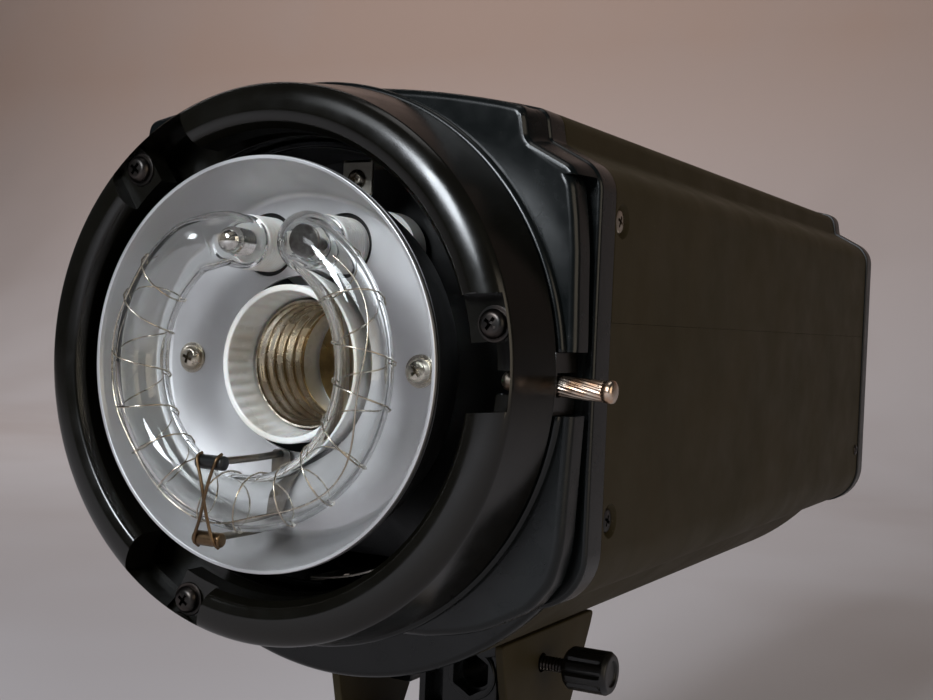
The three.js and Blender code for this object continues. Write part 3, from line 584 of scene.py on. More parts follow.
# ---------------------------------------------------------------- screws
def cross_screw(radius, height, shank, length, washer=0.0, sunk=False):
    """A screw with a cross recess, its head on depth zero and facing forwards."""
    if sunk:
        head = fillet([(0, -height), (radius * 0.9, -height * 0.8, 1.0), (radius, 0, 0.1),
                       (shank, radius - shank), (shank, length), (0, length)], step=12)
    else:
        head = fillet([(0, -height), (radius * 0.72, -height * 0.93, 1.2),
                       (radius, -height * 0.4, 0.8), (radius, 0, 0.15), (shank, 0),
                       (shank, length), (0, length)], step=12)
    arm, half = radius * 0.56, radius * 0.13
    depth = -height + radius * 0.55
    tools = []
    for x, z in ((arm, half), (half, arm)):
        wide = [(-x, -height - 1, -z), (x, -height - 1, -z), (x, -height - 1, z),
                (-x, -height - 1, z)]
        deep = [(px * 0.62 if abs(px) > half * 1.1 else px * 0.8, depth,
                 pz * 0.62 if abs(pz) > half * 1.1 else pz * 0.8) for px, _, pz in wide]
        tools.append((wide + deep, [(0, 1, 2, 3), (4, 5, 6, 7), (0, 1, 5, 4), (1, 2, 6, 5),
                                    (2, 3, 7, 6), (3, 0, 4, 7)]))
    form = carve(turned(head, 40), *tools)
    if washer:
        form = joined(form, turned(fillet([
            (shank + 0.2, 0.0), (washer, 0.0, 0.15), (washer, 0.5, 0.1), (shank + 0.2, 0.5),
        ], step=30), 40))
    return form


def turn_y(degrees):
    return Matrix.Rotation(math.radians(degrees), 3, "Y")


def on_ring(radius, degrees, depth=0.0):
    return (radius * math.cos(math.radians(degrees)), depth,
            radius * math.sin(math.radians(degrees)))


# ---------------------------------------------------------------- bayonet mount ring
RING_MOUTH, RING_OUTER, NOTCH_OUTER, SEAT_DEPTH = 50.5, 62.5, 59.9, 4.2
NOTCH_HALF, SEAT_FROM = 11.6, 2.2
NOTCHES = {"right": 5.2, "upper": 125.2, "lower": 245.2}
PIN_Z, PIN_Y, GUARD_BACK = -1.2, 20.8, 28.2
CREST, CREST_Y, CROWN, CROWN_DEPTH = 53.8, 0.1, 6.6, 3.4


def crown(steps=14):
    """The ring's rounded front, from its crest out to its wall."""
    turns = [math.radians(86) * i / steps for i in range(steps + 1)]
    return [(CREST + CROWN * math.sin(a), CREST_Y + CROWN_DEPTH * (1 - math.cos(a)))
            for a in turns]


ring_form = turned(fillet([
    (RING_MOUTH, 3.0, 0.5), (51.9, 0.7, 1.5), *crown(), (RING_OUTER, 18.2, 0.4),
    (RING_MOUTH, 18.2, 0.3), (RING_MOUTH, 15.0, 0.2), (58.5, 15.0), (58.5, 9.5),
    (RING_MOUTH, 9.5, 0.4),
], step=9), 180)


def notch(middle, low, high, depth):
    across = [low + (high - low) * i / 6 for i in range(7)]
    corners = [(47.0, low), *[(math.sqrt(NOTCH_OUTER ** 2 - u * u), u) for u in across],
               (47.0, high)]
    c, s = math.cos(math.radians(middle)), math.sin(math.radians(middle))
    return slab([(v * c - u * s, v * s + u * c) for v, u in corners], -4.0, depth)


ring_form = carve(ring_form, *[
    tool for middle in NOTCHES.values()
    for tool in (notch(middle, -NOTCH_HALF, SEAT_FROM, 9.8),
                 notch(middle, SEAT_FROM - 0.01, NOTCH_HALF, SEAT_DEPTH))
])
guard = slab(arc(59.8, -6.8, 5.0, 10) + arc(RING_OUTER, 5.0, -6.8, 10), 17.7, GUARD_BACK,
             0.0, 0.3, 2)
ring_form = welded(ring_form, guard)
ring_form = carve(
    ring_form,
    block((48.5, 70.0), (18.4, 30.0), (PIN_Z - 2.5, PIN_Z + 2.5), 0.3, 0.0),
    block((48.5, 58.0), (14.2, 21.0), (PIN_Z - 2.5, PIN_Z + 2.5), 0.6, 0.0),
)
piece("bayonet_ring", ring_form, RING, replaces="mount_ring",
      bevel=0.28)

SCREW_PITCH, SCREW_OFFSET = 56.2, 5.8
ring_screw = cross_screw(3.0, 1.9, 1.4, 12.0, washer=3.7)
for name, middle in NOTCHES.items():
    spot = on_ring(SCREW_PITCH, middle + SCREW_OFFSET, SEAT_DEPTH - 0.5)
    piece(f"bayonet_screw_{name}", moved(ring_screw, spot, turn_y(35.0)),
          BLACK_STEEL, replaces=f"ring_screw_{name}")

# ---------------------------------------------------------------- well behind the ring
WELL_INNER, WELL_OUTER = 48.6, 50.3
WELL_WINDOWS = {"upper": 50.0, "lower": -76.0}
well_form = turned(fillet([
    (WELL_OUTER, 19.3, 0.5), (WELL_OUTER, 40.3), (WELL_INNER, 40.3), (WELL_INNER, 19.3, 0.5),
], step=20), 144)
well_form = carve(well_form, *[
    moved(slab(rounded(11.0, 24.0, 1.2, (0, 0)), -6.0, 6.0), on_ring(50.0, at, 30.0),
          Matrix.Rotation(math.radians(90 - at), 3, "Y")
          @ Matrix.Rotation(math.pi / 2, 3, "X"))
    for at in WELL_WINDOWS.values()
], tool_box((46.0, 52.0), (18.0, 28.5), (PIN_Z - 2.5, PIN_Z + 2.5)))
piece("well_lining", well_form, GLOSS, replaces="inner_bowl",
      bevel=0.2)

def lining_patch(start, end, front, back):
    """A thin curved sheet just inside the lining."""
    return slab(arc(WELL_INNER - 0.1, end, start, 12) + arc(WELL_INNER - 0.4, start, end, 12),
                front, back)


piece("well_plate", lining_patch(-88.0, -60.0, 22.0, 38.5), PLATE)
piece("well_plate_edge", moved(lining_patch(-77.2, -75.6, 22.0, 38.5), (0.0, 0.0, 0.45)),
      NICKEL)

# ---------------------------------------------------------------- front casing
FACE_Y, STEP_Y, FLANGE_Y, CASING_BACK, CHIN_CHORD = 21.2, 28.0, 30.0, 38.0, -48.3
BEAD_R, BEAD_Y, HOOD_Z = 63.4, 19.2, 42.0
HOOD = [(3.1, 21.25), (2.4, 21.4), (1.9, 21.9), (1.55, 22.9), (1.2, 25.0), (0.7, 28.5),
        (0.25, 32.0), (0.04, 35.0), (0.04, CASING_BACK - 0.02)]
casing_form = welded(
    slab(FACE, FACE_Y, STEP_Y, 1.9, 0.5, steps=5),
    turned(fillet([(40.0, BEAD_Y), (BEAD_R, BEAD_Y, 1.1), (BEAD_R, 23.0), (40.0, 23.0)],
                  step=12), 180),
    slab(inset(FACE, 1.5), STEP_Y - 1.0, FLANGE_Y + 1.0),
    slab(BODY, FLANGE_Y, CASING_BACK, 1.0, 0.12, steps=4),
    slab(belly(HUMP_RADIUS, CHIN_CHORD), 34.5, CASING_BACK - 0.03, 1.6, 0.0, steps=4),
    carve(lofted(BODY, HOOD), tool_box((-80.0, 80.0), (0.0, 60.0), (-120.0, HOOD_Z))),
)
GUARD_SPACE, PIN_SPACE = (-7.6, 5.6), (-4.0, 1.6)
BORE_FRONT, BORE_MIDDLE, BORE_REAR = 50.9, 55.0, 52.5
casing_form = carve(
    casing_form,
    disc(BORE_FRONT, 10.0, 50.0),
    block((61.0, 70.0), (17.0, 28.5), GUARD_SPACE, 0.4, 0.0),
    tool_box((49.0, 61.5), (17.0, 28.5), PIN_SPACE),
    disc(BORE_MIDDLE, 25.0, 34.0),
    disc(BORE_REAR, 33.0, 50.0),
)
piece("front_casing_detailed", casing_form, CASING,
      replaces="front_casing", bevel=0.22)

# ---------------------------------------------------------------- reflector dish
FLOOR_Y, LEG_X, LEG_Z, DISH_SCREW_X = 17.5, 10.2, 26.6, 31.0
dish_form = turned(fillet([
    (43.3, 0.9, 0.5), (38.2, FLOOR_Y, 1.6), (19.8, FLOOR_Y, 0.15), (19.8, FLOOR_Y + 0.8, 0.1),
    (39.0, FLOOR_Y + 0.8, 1.8), (44.0, 1.5, 0.2), (44.6, 0.9, 0.2), (44.5, 0.0, 0.25),
    (43.7, 0.05, 0.2),
], step=10), 168)
dish_form = carve(
    dish_form,
    *[bar(7.2, 14.0, 22.0, (x, LEG_Z), edge=0.0) for x in (-LEG_X, LEG_X)],
    *[bar(1.7, 14.0, 22.0, (x, 0.0), edge=0.0) for x in (-DISH_SCREW_X, DISH_SCREW_X)],
)
piece("dish", dish_form, DISH, replaces="reflector_dish",
      bevel=0.12)
dish_screw = cross_screw(2.9, 1.7, 1.3, 6.0, washer=3.6)
for name, x, spin in (("left", -DISH_SCREW_X, 20.0), ("right", DISH_SCREW_X, 50.0)):
    piece(f"dish_fixing_{name}", moved(dish_screw, (x, FLOOR_Y - 0.5, 0.0), turn_y(spin)),
          NICKEL, replaces=f"dish_screw_{name}")
# A thin dark skin laid just over the dish's outer face, from its rim back to its hole, so that face
# shows dark.
dish_back = turned([(44.35, 1.6), (44.6, 1.7), (39.6, 18.45), (20.0, 18.55), (20.0, 18.4),
                    (39.3, 18.25)], 168)
piece("dish_back", dish_back, CONTROL)

# ---------------------------------------------------------------- modelling lamp holder
HOLDER_R, HOLDER_FRONT, FLUTES = 17.6, 11.6, 36


def fluting(radius, depth, angle):
    if radius < 16.5 and 12.6 < depth < 20.0:
        return radius + 0.38 * max(0.0, math.cos(FLUTES * angle)) ** 0.6
    return radius


holder_form = turned(fillet([
    (HOLDER_R, HOLDER_FRONT, 0.5), (HOLDER_R, 44.6), (25.0, 44.6, 0.6), (25.0, 49.0, 0.6),
    (HOLDER_R, 49.0), (HOLDER_R, 56.0, 0.6), (4.0, 56.0), (4.0, 46.0), (15.0, 46.0),
    (15.0, 20.5), (15.6, 18.0), (15.9, 13.0), (16.2, HOLDER_FRONT, 0.4),
], step=15), 216, fluting)
piece("socket_ceramic", holder_form, CERAMIC, replaces="lamp_holder")

THREAD_PITCH, THREAD_DEEP, THREAD_R, THREAD_FROM, THREAD_TO = 3.6, 0.95, 14.45, 19.7, 38.3


def helix_wave(radius, depth, angle):
    wave = 0.5 - 0.5 * math.cos(TAU * depth / THREAD_PITCH - angle)
    fade = min(1.0, (depth - THREAD_FROM) / 1.5, (THREAD_TO - depth) / 1.5)
    return radius - THREAD_DEEP * wave * max(0.0, fade)


thread_depths = [THREAD_FROM + (THREAD_TO - THREAD_FROM) * i / 62 for i in range(63)]
thread_form = turned(
    [(THREAD_R, y) for y in thread_depths]
    + [(THREAD_R - 0.4, y) for y in reversed(thread_depths)], 96, helix_wave)
piece("socket_thread", thread_form, NICKEL, replaces="lamp_screw_shell",
      sharp=60.0)
RIVETS = ((7.0, -6.0), (-7.5, -5.0))
tongue = side_slab(fillet([
    (45.6, 10.5), (45.0, 10.5), (42.4, 2.0, 1.5), (42.2, -4.5, 0.5), (42.8, -4.5, 0.5),
    (43.0, 2.0, 1.5),
], step=10), -3.2, 3.2, 0.2, 0.2, 2)
contact_form = joined(
    turned(fillet([(0, 44.9), (14.2, 44.9, 0.3), (14.2, 45.7, 0.2), (0, 45.7)]), 72),
    tongue,
    turned(fillet([(0, 41.2), (1.8, 41.5, 0.7), (2.4, 42.3, 0.2), (2.4, 43.4), (0, 43.4)],
                  step=15), 32),
    *[placed(turned(fillet([(0, 43.8), (1.6, 44.1, 0.5), (1.9, 45.2), (0, 45.2)], step=15),
                    24), centre) for centre in RIVETS],
    bar(1.6, 45.0, 52.0),
)
piece("socket_contact", contact_form, BRASS, replaces="lamp_centre_contact")

# ---------------------------------------------------------------- flash tube
TUBE_RING, TUBE_Y, TUBE_R, TUBE_BORE, BEND_FROM, LEG_END = 29.3, -2.0, 6.0, 4.8, 56.0, 9.0


def tube_line():
    def leg(side):
        return [(side * LEG_X, LEG_END, LEG_Z), (side * LEG_X, 7.0, LEG_Z),
                (side * (LEG_X + 0.7), 2.6, LEG_Z + 0.3),
                (side * (LEG_X + 3.0), -0.9, LEG_Z - 0.9)]
    sweep_angle = 360.0 - 2 * (90.0 - BEND_FROM)
    middle = [on_ring(TUBE_RING, BEND_FROM - sweep_angle * i / 26, TUBE_Y) for i in range(27)]
    return spline([*leg(1), *middle, *reversed(leg(-1))], 7)


TUBE_LINE = tube_line()
piece("flash_tube_glass", sweep(TUBE_LINE, TUBE_R, 40, TUBE_BORE), GLASS,
      replaces="flash_tube", sharp=50.0)


def along_tube(share):
    """A place on the tube's centre line, and the direction away from the flash axis."""
    spot = share * (len(TUBE_LINE) - 1)
    i = min(int(spot), len(TUBE_LINE) - 2)
    centre = TUBE_LINE[i].lerp(TUBE_LINE[i + 1], spot - i)
    return centre, Vector((centre.x, 0, centre.z)).normalized()


SEALS = [place for i in range(1, 5)
         for place in ((2.45, 4.5 + 0.84 * i), (3.05, 4.878 + 0.84 * i))]
electrode_profiles = {
    "left": [(0, 1.0), *arc(3.1, -84, -4, 8, (0.0, 4.1)), *SEALS, (2.2, 8.9), (0, 8.9)],
    "right": fillet([(0, 2.0), (4.1, 2.0, 0.25), (4.1, 2.9, 0.25), (1.6, 3.1), (1.6, 8.9),
                     (0, 8.9)], step=20),
}
SLEEVE_FRONT, SLEEVE_R, THREAD = 9.3, 6.2, 0.9


def sleeve_thread(radius, depth, angle):
    if radius > 6.1 and SLEEVE_FRONT + 0.8 < depth < 19.0:
        return radius - 0.13 * (0.5 - 0.5 * math.cos(TAU * depth / THREAD))
    return radius


for name, x, shader in (("left", -LEG_X, CHROME), ("right", LEG_X, TUNGSTEN)):
    form = joined(moved(turned(electrode_profiles[name], 48), (x, 0, LEG_Z)),
                  bar(1.2, 8.6, 34.0, (x, LEG_Z)))
    piece(f"electrode_rod_{name}", form, shader,
          replaces=f"electrode_{name}")
    threads = [(SLEEVE_R, SLEEVE_FRONT + 0.7 + 0.15 * i) for i in range(65)]
    base_form = moved(turned([
        (1.7, SLEEVE_FRONT), (5.6, SLEEVE_FRONT), (6.05, SLEEVE_FRONT + 0.25), *threads,
        (SLEEVE_R, 33.0), (9.0, 33.0), (9.0, 37.9), (1.7, 37.9),
    ], 64, sleeve_thread), (x, 0, LEG_Z))
    piece(f"tube_sleeve_{name}", base_form, CERAMIC,
          replaces=f"tube_base_{name}")

WIRE_TURNS, WIRE_R, WIRE_THICK, WIRE_FROM, WIRE_TO = 14, 6.3, 0.19, 0.15, 0.85
dice = random.Random(7)
wander = [dice.uniform(-0.5, 0.5) for _ in range(WIRE_TURNS + 2)]
wire_points = []
for step in range(WIRE_TURNS * 16 + 1):
    turn = step / 16
    low = int(turn)
    drift = wander[low] + (wander[low + 1] - wander[low]) * (turn - low)
    share = WIRE_FROM + (WIRE_TO - WIRE_FROM) * (turn + 0.35 * drift) / WIRE_TURNS
    centre, outward = along_tube(min(max(share, 0.02), 0.98))
    reach = WIRE_R + 0.12 * abs(math.sin(turn * 2.1))
    wire_points.append(centre + outward * reach * math.cos(turn * TAU)
                       + Vector((0, reach * math.sin(turn * TAU), 0)))
length_wise = []
for step in range(81):
    centre, outward = along_tube(WIRE_FROM + (WIRE_TO - WIRE_FROM) * step / 80)
    lean = -0.9 + 0.25 * math.sin(step * 0.31)
    length_wise.append(centre + outward * 6.3 * math.cos(lean)
                       + Vector((0, 6.3 * math.sin(lean), 0)))
piece("trigger_winding", joined(sweep(wire_points, WIRE_THICK, 8), sweep(length_wise, 0.2, 8)),
      NICKEL, replaces="trigger_wire", sharp=60.0)

# ---------------------------------------------------------------- clip at the tube's foot
CLIP_X, CLIP_Y, CLIP_IN, CLIP_OUT = -3.5, -8.2, -20.6, -36.6
clip_form = joined(
    block((CLIP_X - 2.5, CLIP_X + 2.5), (15.9, 16.6), (-36.8, -19.4), 1.0, 0.15),
    *[sweep(spline([(CLIP_X, 16.0, z * 0.985), (CLIP_X, 8.0, z), (CLIP_X, CLIP_Y + 1.4, z)], 8),
            0.8, 12) for z in (CLIP_IN, CLIP_OUT)],
)
piece("tube_cradle", clip_form, DARK_STEEL, replaces="tube_clip")
for name, z, shader in (("upper", CLIP_IN, CONTROL), ("lower", CLIP_OUT, BRONZE)):
    roll = bar(1.55, CLIP_X - 3.5, CLIP_X + 3.5, (CLIP_Y, z), "x", 0.35, 32)
    piece(f"tube_cradle_roll_{name}", roll, shader)


def cross_wire(x0, x1):
    front = CLIP_Y - 2.0
    return sweep(spline([
        (x0, CLIP_Y, CLIP_IN + 1.9), (x0, front + 0.5, CLIP_IN + 1.1),
        (x0 * 0.7 + x1 * 0.3, front, CLIP_IN - 3.6), (x0 * 0.3 + x1 * 0.7, front, CLIP_OUT + 4.2),
        (x1, front + 0.4, CLIP_OUT - 0.4), (x1, CLIP_Y, CLIP_OUT - 1.7),
    ], 8), 0.36, 12)


piece("tube_cradle_wire", joined(cross_wire(CLIP_X - 2.6, CLIP_X + 2.6),
                                 cross_wire(CLIP_X + 2.6, CLIP_X - 2.6)),
      BRONZE, replaces="tube_clip_spring", sharp=60.0)

# ---------------------------------------------------------------- sensor bracket and lock pin
bracket_form = joined(
    block((2.0, 10.0), (28.0, 40.3), (46.0, 46.8), 0.3, 0.2),
    block((2.0, 10.0), (28.0, 28.9), (38.6, 46.8), 1.0, 0.2),
)
bracket_form = carve(bracket_form, bar(1.4, 26.0, 30.0, (6.0, 42.4), edge=0.0, segments=32))
piece("sensor_strip", bracket_form, PLATE,
      replaces="sensor_bracket", bevel=0.12)
piece("sensor_strip_screw", moved(cross_screw(2.3, 1.3, 1.1, 3.0), (6.0, 28.0, 42.4),
                                  turn_y(15)), NICKEL)

PIN_R, PIN_IN, PIN_TIP, KNURL_FROM, KNURL_TO = 2.2, 49.1, 74.5, 56.0, 71.8
PIN_DROOP = math.radians(2.6)


def knurl(radius, depth, angle):
    if radius > 2.05 and KNURL_FROM < depth < KNURL_TO:
        return radius - 0.16 * (0.5 + 0.5 * math.cos(16 * angle + 1.5 * depth))
    return radius


pin_profile = [
    (0.0, PIN_IN), (1.2, PIN_IN + 0.15), (1.9, PIN_IN + 0.7), (PIN_R, PIN_IN + 1.7),
    *[(PIN_R, KNURL_FROM + 0.25 * i) for i in range(64)],
    (2.08, 72.0), (2.28, 72.3), (2.45, 72.9), (2.45, 73.6), (2.2, 74.1), (1.6, 74.35),
    (0.0, PIN_TIP),
]
pin_middle = (PIN_IN + PIN_TIP) / 2
pin_form = moved(turned(pin_profile, 96, knurl), (0, -pin_middle, 0))
pin_form = moved(pin_form, (pin_middle, PIN_Y, PIN_Z - 0.25),
                 Matrix.Rotation(PIN_DROOP, 3, "Y") @ TO_X)
piece("bayonet_lock_pin", pin_form, COPPERED, body="lock_pin",
      replaces="lock_pin", sharp=50.0)
SPRING_X, SPRING_R, SPRING_FRONT, SPRING_BACK, COILS, PIN_TRAVEL = 57.0, 1.9, 23.7, 40.2, 9, 5.0
SPRING_LENGTH = SPRING_BACK - SPRING_FRONT
spring_points = [
    (SPRING_X + SPRING_R * math.cos(a), SPRING_FRONT + SPRING_LENGTH * a / (TAU * COILS),
     PIN_Z + SPRING_R * math.sin(a))
    for a in (TAU * COILS * i / 216 for i in range(217))
]
lock_spring = piece("lock_pin_spring", sweep(spring_points, 0.3, 10), NICKEL,
                    replaces="lock_spring", sharp=60.0)
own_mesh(lock_spring)

# ---------------------------------------------------------------- covers
COVER_FRONT, LOWER_FRONT, COVER_BACK, WALL, JOINT_Z, JOINT_GAP = 38.3, 38.03, 284.0, 1.5, 12.0, 0.03
HUMP_BACK, SCREW_Y, SCREW_UPPER, SCREW_LOWER = 262.0, 42.3, 34.0, -31.0


def cover_skin(above, front, edge_round):
    """Half of the body's thin skin, above or below the joint between the covers."""
    sign = 1 if above else -1
    edge = JOINT_Z + sign * JOINT_GAP
    halves = []
    for outline, end in ((BODY, edge), (inset(BODY, WALL), edge - sign * 2.0)):
        points = [p for p in outline if sign * (p[1] - edge) > 0.5]
        cut = max(range(len(points)), key=lambda i: (
            math.hypot(points[i][0] - points[i - 1][0], points[i][1] - points[i - 1][1])))
        run = points[cut:] + points[:cut]
        halves.append([(run[0][0], end), *run, (run[-1][0], end)])
    outer, inner = halves
    return carve(slab(outer, front, COVER_BACK, edge_round, 0.45, 2),
                 slab(inner, front - 1.0, COVER_BACK + 1.0))


def side_cup(side, z):
    """A countersink through the cover's side at a screw."""
    cup = turned([(0.0, SIDE - 4), (2.2, SIDE - 4), (2.9, SIDE - 1.3), (3.9, SIDE + 0.1),
                  (3.9, SIDE + 2), (0.0, SIDE + 2)], 48)
    return moved(cup, (0, SCREW_Y, z), TO_X if side > 0 else TO_X.inverted())


upper_form = carve(cover_skin(True, COVER_FRONT, 0.35),
                   side_cup(1, SCREW_UPPER), side_cup(-1, SCREW_UPPER))
piece("top_cover", upper_form, BODY_PAINT, replaces="upper_cover")
VENTS = [-22.5 + 9 * i for i in range(6)]
HUMP_TAPER, HUMP_CHORD = 3.2, -48.9
hump_form = skinned([
    (belly(HUMP_RADIUS, HUMP_CHORD), LOWER_FRONT + 0.04),
    (belly(HUMP_RADIUS, HUMP_CHORD), HUMP_BACK - HUMP_TAPER),
    (belly(HUMP_RADIUS - HUMP_TAPER, HUMP_CHORD), HUMP_BACK),
])
lower_form = welded(cover_skin(False, LOWER_FRONT, 0.08), hump_form)
lower_form = carve(
    lower_form, side_cup(1, SCREW_LOWER), side_cup(-1, SCREW_LOWER),
    *[moved(slab(rounded(5.0, 15.0, 2.4), -6.0, 6.0), (x, 272.5, -50.0),
            Matrix.Rotation(math.pi / 2, 3, "X")) for x in VENTS],
)
piece("bottom_cover", lower_form, BODY_PAINT, replaces="lower_shell")
side_screw = cross_screw(2.8, 0.8, 1.4, 6.0, sunk=True)
for name, side, z, shader in (
        ("right_upper", 1, SCREW_UPPER, NICKEL), ("right_lower", 1, SCREW_LOWER, BLACK_STEEL),
        ("left_upper", -1, SCREW_UPPER, NICKEL), ("left_lower", -1, SCREW_LOWER, BLACK_STEEL)):
    turn = Matrix.Rotation(side * math.pi / 2, 3, "Z") @ turn_y(25.0)
    piece(f"cover_screw_{name}", moved(side_screw, (side * (SIDE - 1.3), SCREW_Y, z), turn),
          shader, replaces=f"side_screw_{name}")
REAR_SCREW = (280.0, -30.0)
for name, side in (("right", 1), ("left", -1)):
    turn = Matrix.Rotation(side * math.pi / 2, 3, "Z") @ turn_y(50.0)
    piece(f"tail_screw_{name}", moved(cross_screw(1.9, 0.7, 0.9, 3.0),
                                      (side * SIDE, *REAR_SCREW), turn),
          BLACK_STEEL)

# ---------------------------------------------------------------- rear panel and controls
PANEL_FRONT, PANEL_BACK = 284.3, 292.0
DISPLAY, DISPLAY_SIZE = (0.0, 38.0), (46.0, 20.0)
DIAL, DIAL_R = (36.0, 10.0), 12.0
BUTTON_X = {"modelling_button": -44.0, "slave_button": -26.0, "sound_button": -8.0}
BUTTON_Z, BUTTON_SIZE = 12.0, (13.0, 7.0)
TEST, SENSOR, FUSE, JACK = (40.0, 38.0), (-40.0, 38.0), (48.0, -9.0), (18.0, -9.0)
FAN, FAN_R, INLET, INLET_SIZE = (-34.0, -20.0), 19.0, (18.0, -30.0), (27.0, 20.0)
ROCKER, ROCKER_SIZE = (48.0, -30.0), (13.0, 19.0)


def ribbed(depth, ribs, beyond, above):
    """A ripple of ribs outside a radius and behind the panel's face."""
    def ripple(radius, y, angle):
        cut = depth * (0.5 + 0.5 * math.cos(ribs * angle))
        return radius - (cut if y > PANEL_BACK + above and radius > beyond else 0.0)
    return ripple


def through(outline):
    return slab(outline, PANEL_FRONT - 8.0, PANEL_BACK + 4.0)


def hole(centre, radius):
    return through(arc(radius, 0, 352.5, 47, centre))


def window(centre, size, radius, grow=0.3):
    return through(rounded(size[0] + 2 * grow, size[1] + 2 * grow, radius, centre))


panel_form = slab(inset(BODY, -0.6), PANEL_FRONT, PANEL_BACK, 0.4, 1.6, 4)
grille = []
for i in range(7):
    z = FAN[1] - 15 + i * 5
    half = math.sqrt(FAN_R ** 2 - (z - FAN[1]) ** 2)
    grille.append(window((FAN[0], z), (2 * half, 2.6), 1.25, 0.0))
panel_form = carve(
    panel_form, slab(inset(BODY, 2.4), PANEL_FRONT - 8.0, PANEL_BACK - 3.0),
    window(DISPLAY, DISPLAY_SIZE, 1.5),
    *[window((x, BUTTON_Z), BUTTON_SIZE, 1.2) for x in BUTTON_X.values()],
    hole(TEST, 6.3), hole(SENSOR, 6.3), hole(FUSE, 6.3), hole(JACK, 5.8), hole(DIAL, 4.0),
    window(INLET, INLET_SIZE, 1.5), window(ROCKER, ROCKER_SIZE, 1.0), *grille,
)
piece("back_panel", panel_form, CONTROL, replaces="rear_panel",
      bevel=0.25)

INK = Shader("panel_ink", (0.62, 0.62, 0.60), 0.5)
INK.mottled((0.55, 0.55, 0.53), 400.0).grain(3000.0, 0.05, 0.02)
marks = []
for i in range(11):
    angle = math.radians(225 - 27 * i)
    turn = Matrix.Rotation(math.pi / 2 - angle, 3, "Y")
    tick = block((-0.3, 0.3), (PANEL_BACK - 0.05, PANEL_BACK + 0.08),
                 (14.2, 16.4 if i % 5 == 0 else 15.6), 0.2, 0.03)
    marks.append(placed(tick, DIAL, turn))
for x in BUTTON_X.values():
    marks.append(slab(rounded(6.0, 0.7, 0.3, (x, BUTTON_Z + 6.2)),
                      PANEL_BACK - 0.05, PANEL_BACK + 0.08))
for centre, radius in ((TEST, 8.2), (SENSOR, 8.2), (JACK, 7.6)):
    marks.append(moved(turned([
        (radius, PANEL_BACK - 0.05), (radius + 0.45, PANEL_BACK - 0.05),
        (radius + 0.45, PANEL_BACK + 0.08), (radius, PANEL_BACK + 0.08),
    ], 64), (centre[0], 0, centre[1])))
piece("panel_marks", joined(*marks), INK)

piece("display_glass", slab(rounded(*DISPLAY_SIZE, 1.3, DISPLAY), PANEL_BACK - 4.0,
                            PANEL_BACK - 0.4, 0.2, 0.5), GLOSS,
      replaces="display_window")
SEGMENT = Shader("display_segment", (0.10, 0.03, 0.025), 0.25)
SEGMENT.mottled((0.13, 0.035, 0.03), 500.0).grain(2000.0, 0.05, 0.02)


def digit(x, z):
    long, thick, lean = 4.6, 1.05, 0.12
    strokes = []
    for sx, sz, flat in ((0, 5.4, 1), (0, 0, 1), (0, -5.4, 1), (-2.9, 2.7, 0), (2.9, 2.7, 0),
                         (-2.9, -2.7, 0), (2.9, -2.7, 0)):
        size = (long, thick) if flat else (thick, long)
        outline = fillet([(sx - size[0] / 2, sz - size[1] / 2, 0.5),
                          (sx + size[0] / 2, sz - size[1] / 2, 0.5),
                          (sx + size[0] / 2, sz + size[1] / 2, 0.5),
                          (sx - size[0] / 2, sz + size[1] / 2, 0.5)], step=30)
        strokes.append(slab([(x - a - b * lean, z + b) for a, b in outline],
                            PANEL_BACK - 0.5, PANEL_BACK - 0.32))
    return joined(*strokes)


piece("display_digits", joined(digit(11.0, 38.0), digit(0.0, 38.0), digit(-11.0, 38.0),
                               bar(0.6, PANEL_BACK - 0.5, PANEL_BACK - 0.32, (-5.5, 33.0),
                                   edge=0.0, segments=20)),
      SEGMENT)

for name, x in BUTTON_X.items():
    form = slab(rounded(*BUTTON_SIZE, 1.0, (x, BUTTON_Z)), PANEL_BACK - 8.0,
                PANEL_BACK + 2.0, 0.2, 0.7)
    dimple = moved(turned(fillet([(0, -0.35), (2.6, -0.2), (4.2, 0.4), (4.2, 3), (0, 3)],
                                 step=15), 40), (x, PANEL_BACK + 2.0, BUTTON_Z))
    piece(f"{name}_cap", carve(form, dimple), CONTROL,
          body=name, replaces=name)
piece("test_button_cap", placed(turned(fillet([
    (0, PANEL_BACK - 8), (6, PANEL_BACK - 8), (6, PANEL_BACK + 2.5, 0.8),
    (4.0, PANEL_BACK + 2.2, 2.0), (0, PANEL_BACK + 1.7),
], step=12), 56), TEST), RED, body="test_button",
      replaces="test_button")
piece("slave_lens", placed(turned(fillet([
    (0, PANEL_BACK - 6), (6, PANEL_BACK - 6), (6, PANEL_BACK + 0.3, 0.2),
    (5.6, PANEL_BACK + 2.6, 1.5),
    (3.4, PANEL_BACK + 5.2, 2.5), (0, PANEL_BACK + 5.8),
], step=8), 64, ribbed(0.12, 32, 2.0, 0.4)),
    SENSOR), LENS, replaces="slave_sensor")


def dial_flutes(radius, depth, angle):
    if radius > 10.5 and depth > PANEL_BACK + 2.4:
        return radius - 0.42 * (0.5 - 0.5 * math.cos(30 * angle)) ** 2
    return radius


dial_profile = fillet([
    (0, PANEL_BACK + 0.6), (DIAL_R, PANEL_BACK + 0.6, 0.3), (DIAL_R, PANEL_BACK + 2.2, 0.2),
    (DIAL_R - 0.2, PANEL_BACK + 2.5), (DIAL_R - 0.5, PANEL_BACK + 12.2, 0.9),
    (8.8, PANEL_BACK + 13.4, 0.8), (8.2, PANEL_BACK + 12.8, 0.5), (0, PANEL_BACK + 12.6),
], step=12)
dial_form = joined(
    placed(turned(dial_profile, 240, dial_flutes), DIAL),
    bar(3.4, PANEL_BACK - 9.0, PANEL_BACK + 1.0, DIAL),
)
piece("power_dial_knob", dial_form, CONTROL, body="power_dial",
      replaces="power_dial", sharp=40.0)
pointer = placed(block((-0.55, 0.55), (PANEL_BACK + 12.3, PANEL_BACK + 12.95), (2.0, 8.0),
                      0.3, 0.1), DIAL, turn_y(-40.0))
piece("power_dial_line", pointer, INK, body="power_dial")

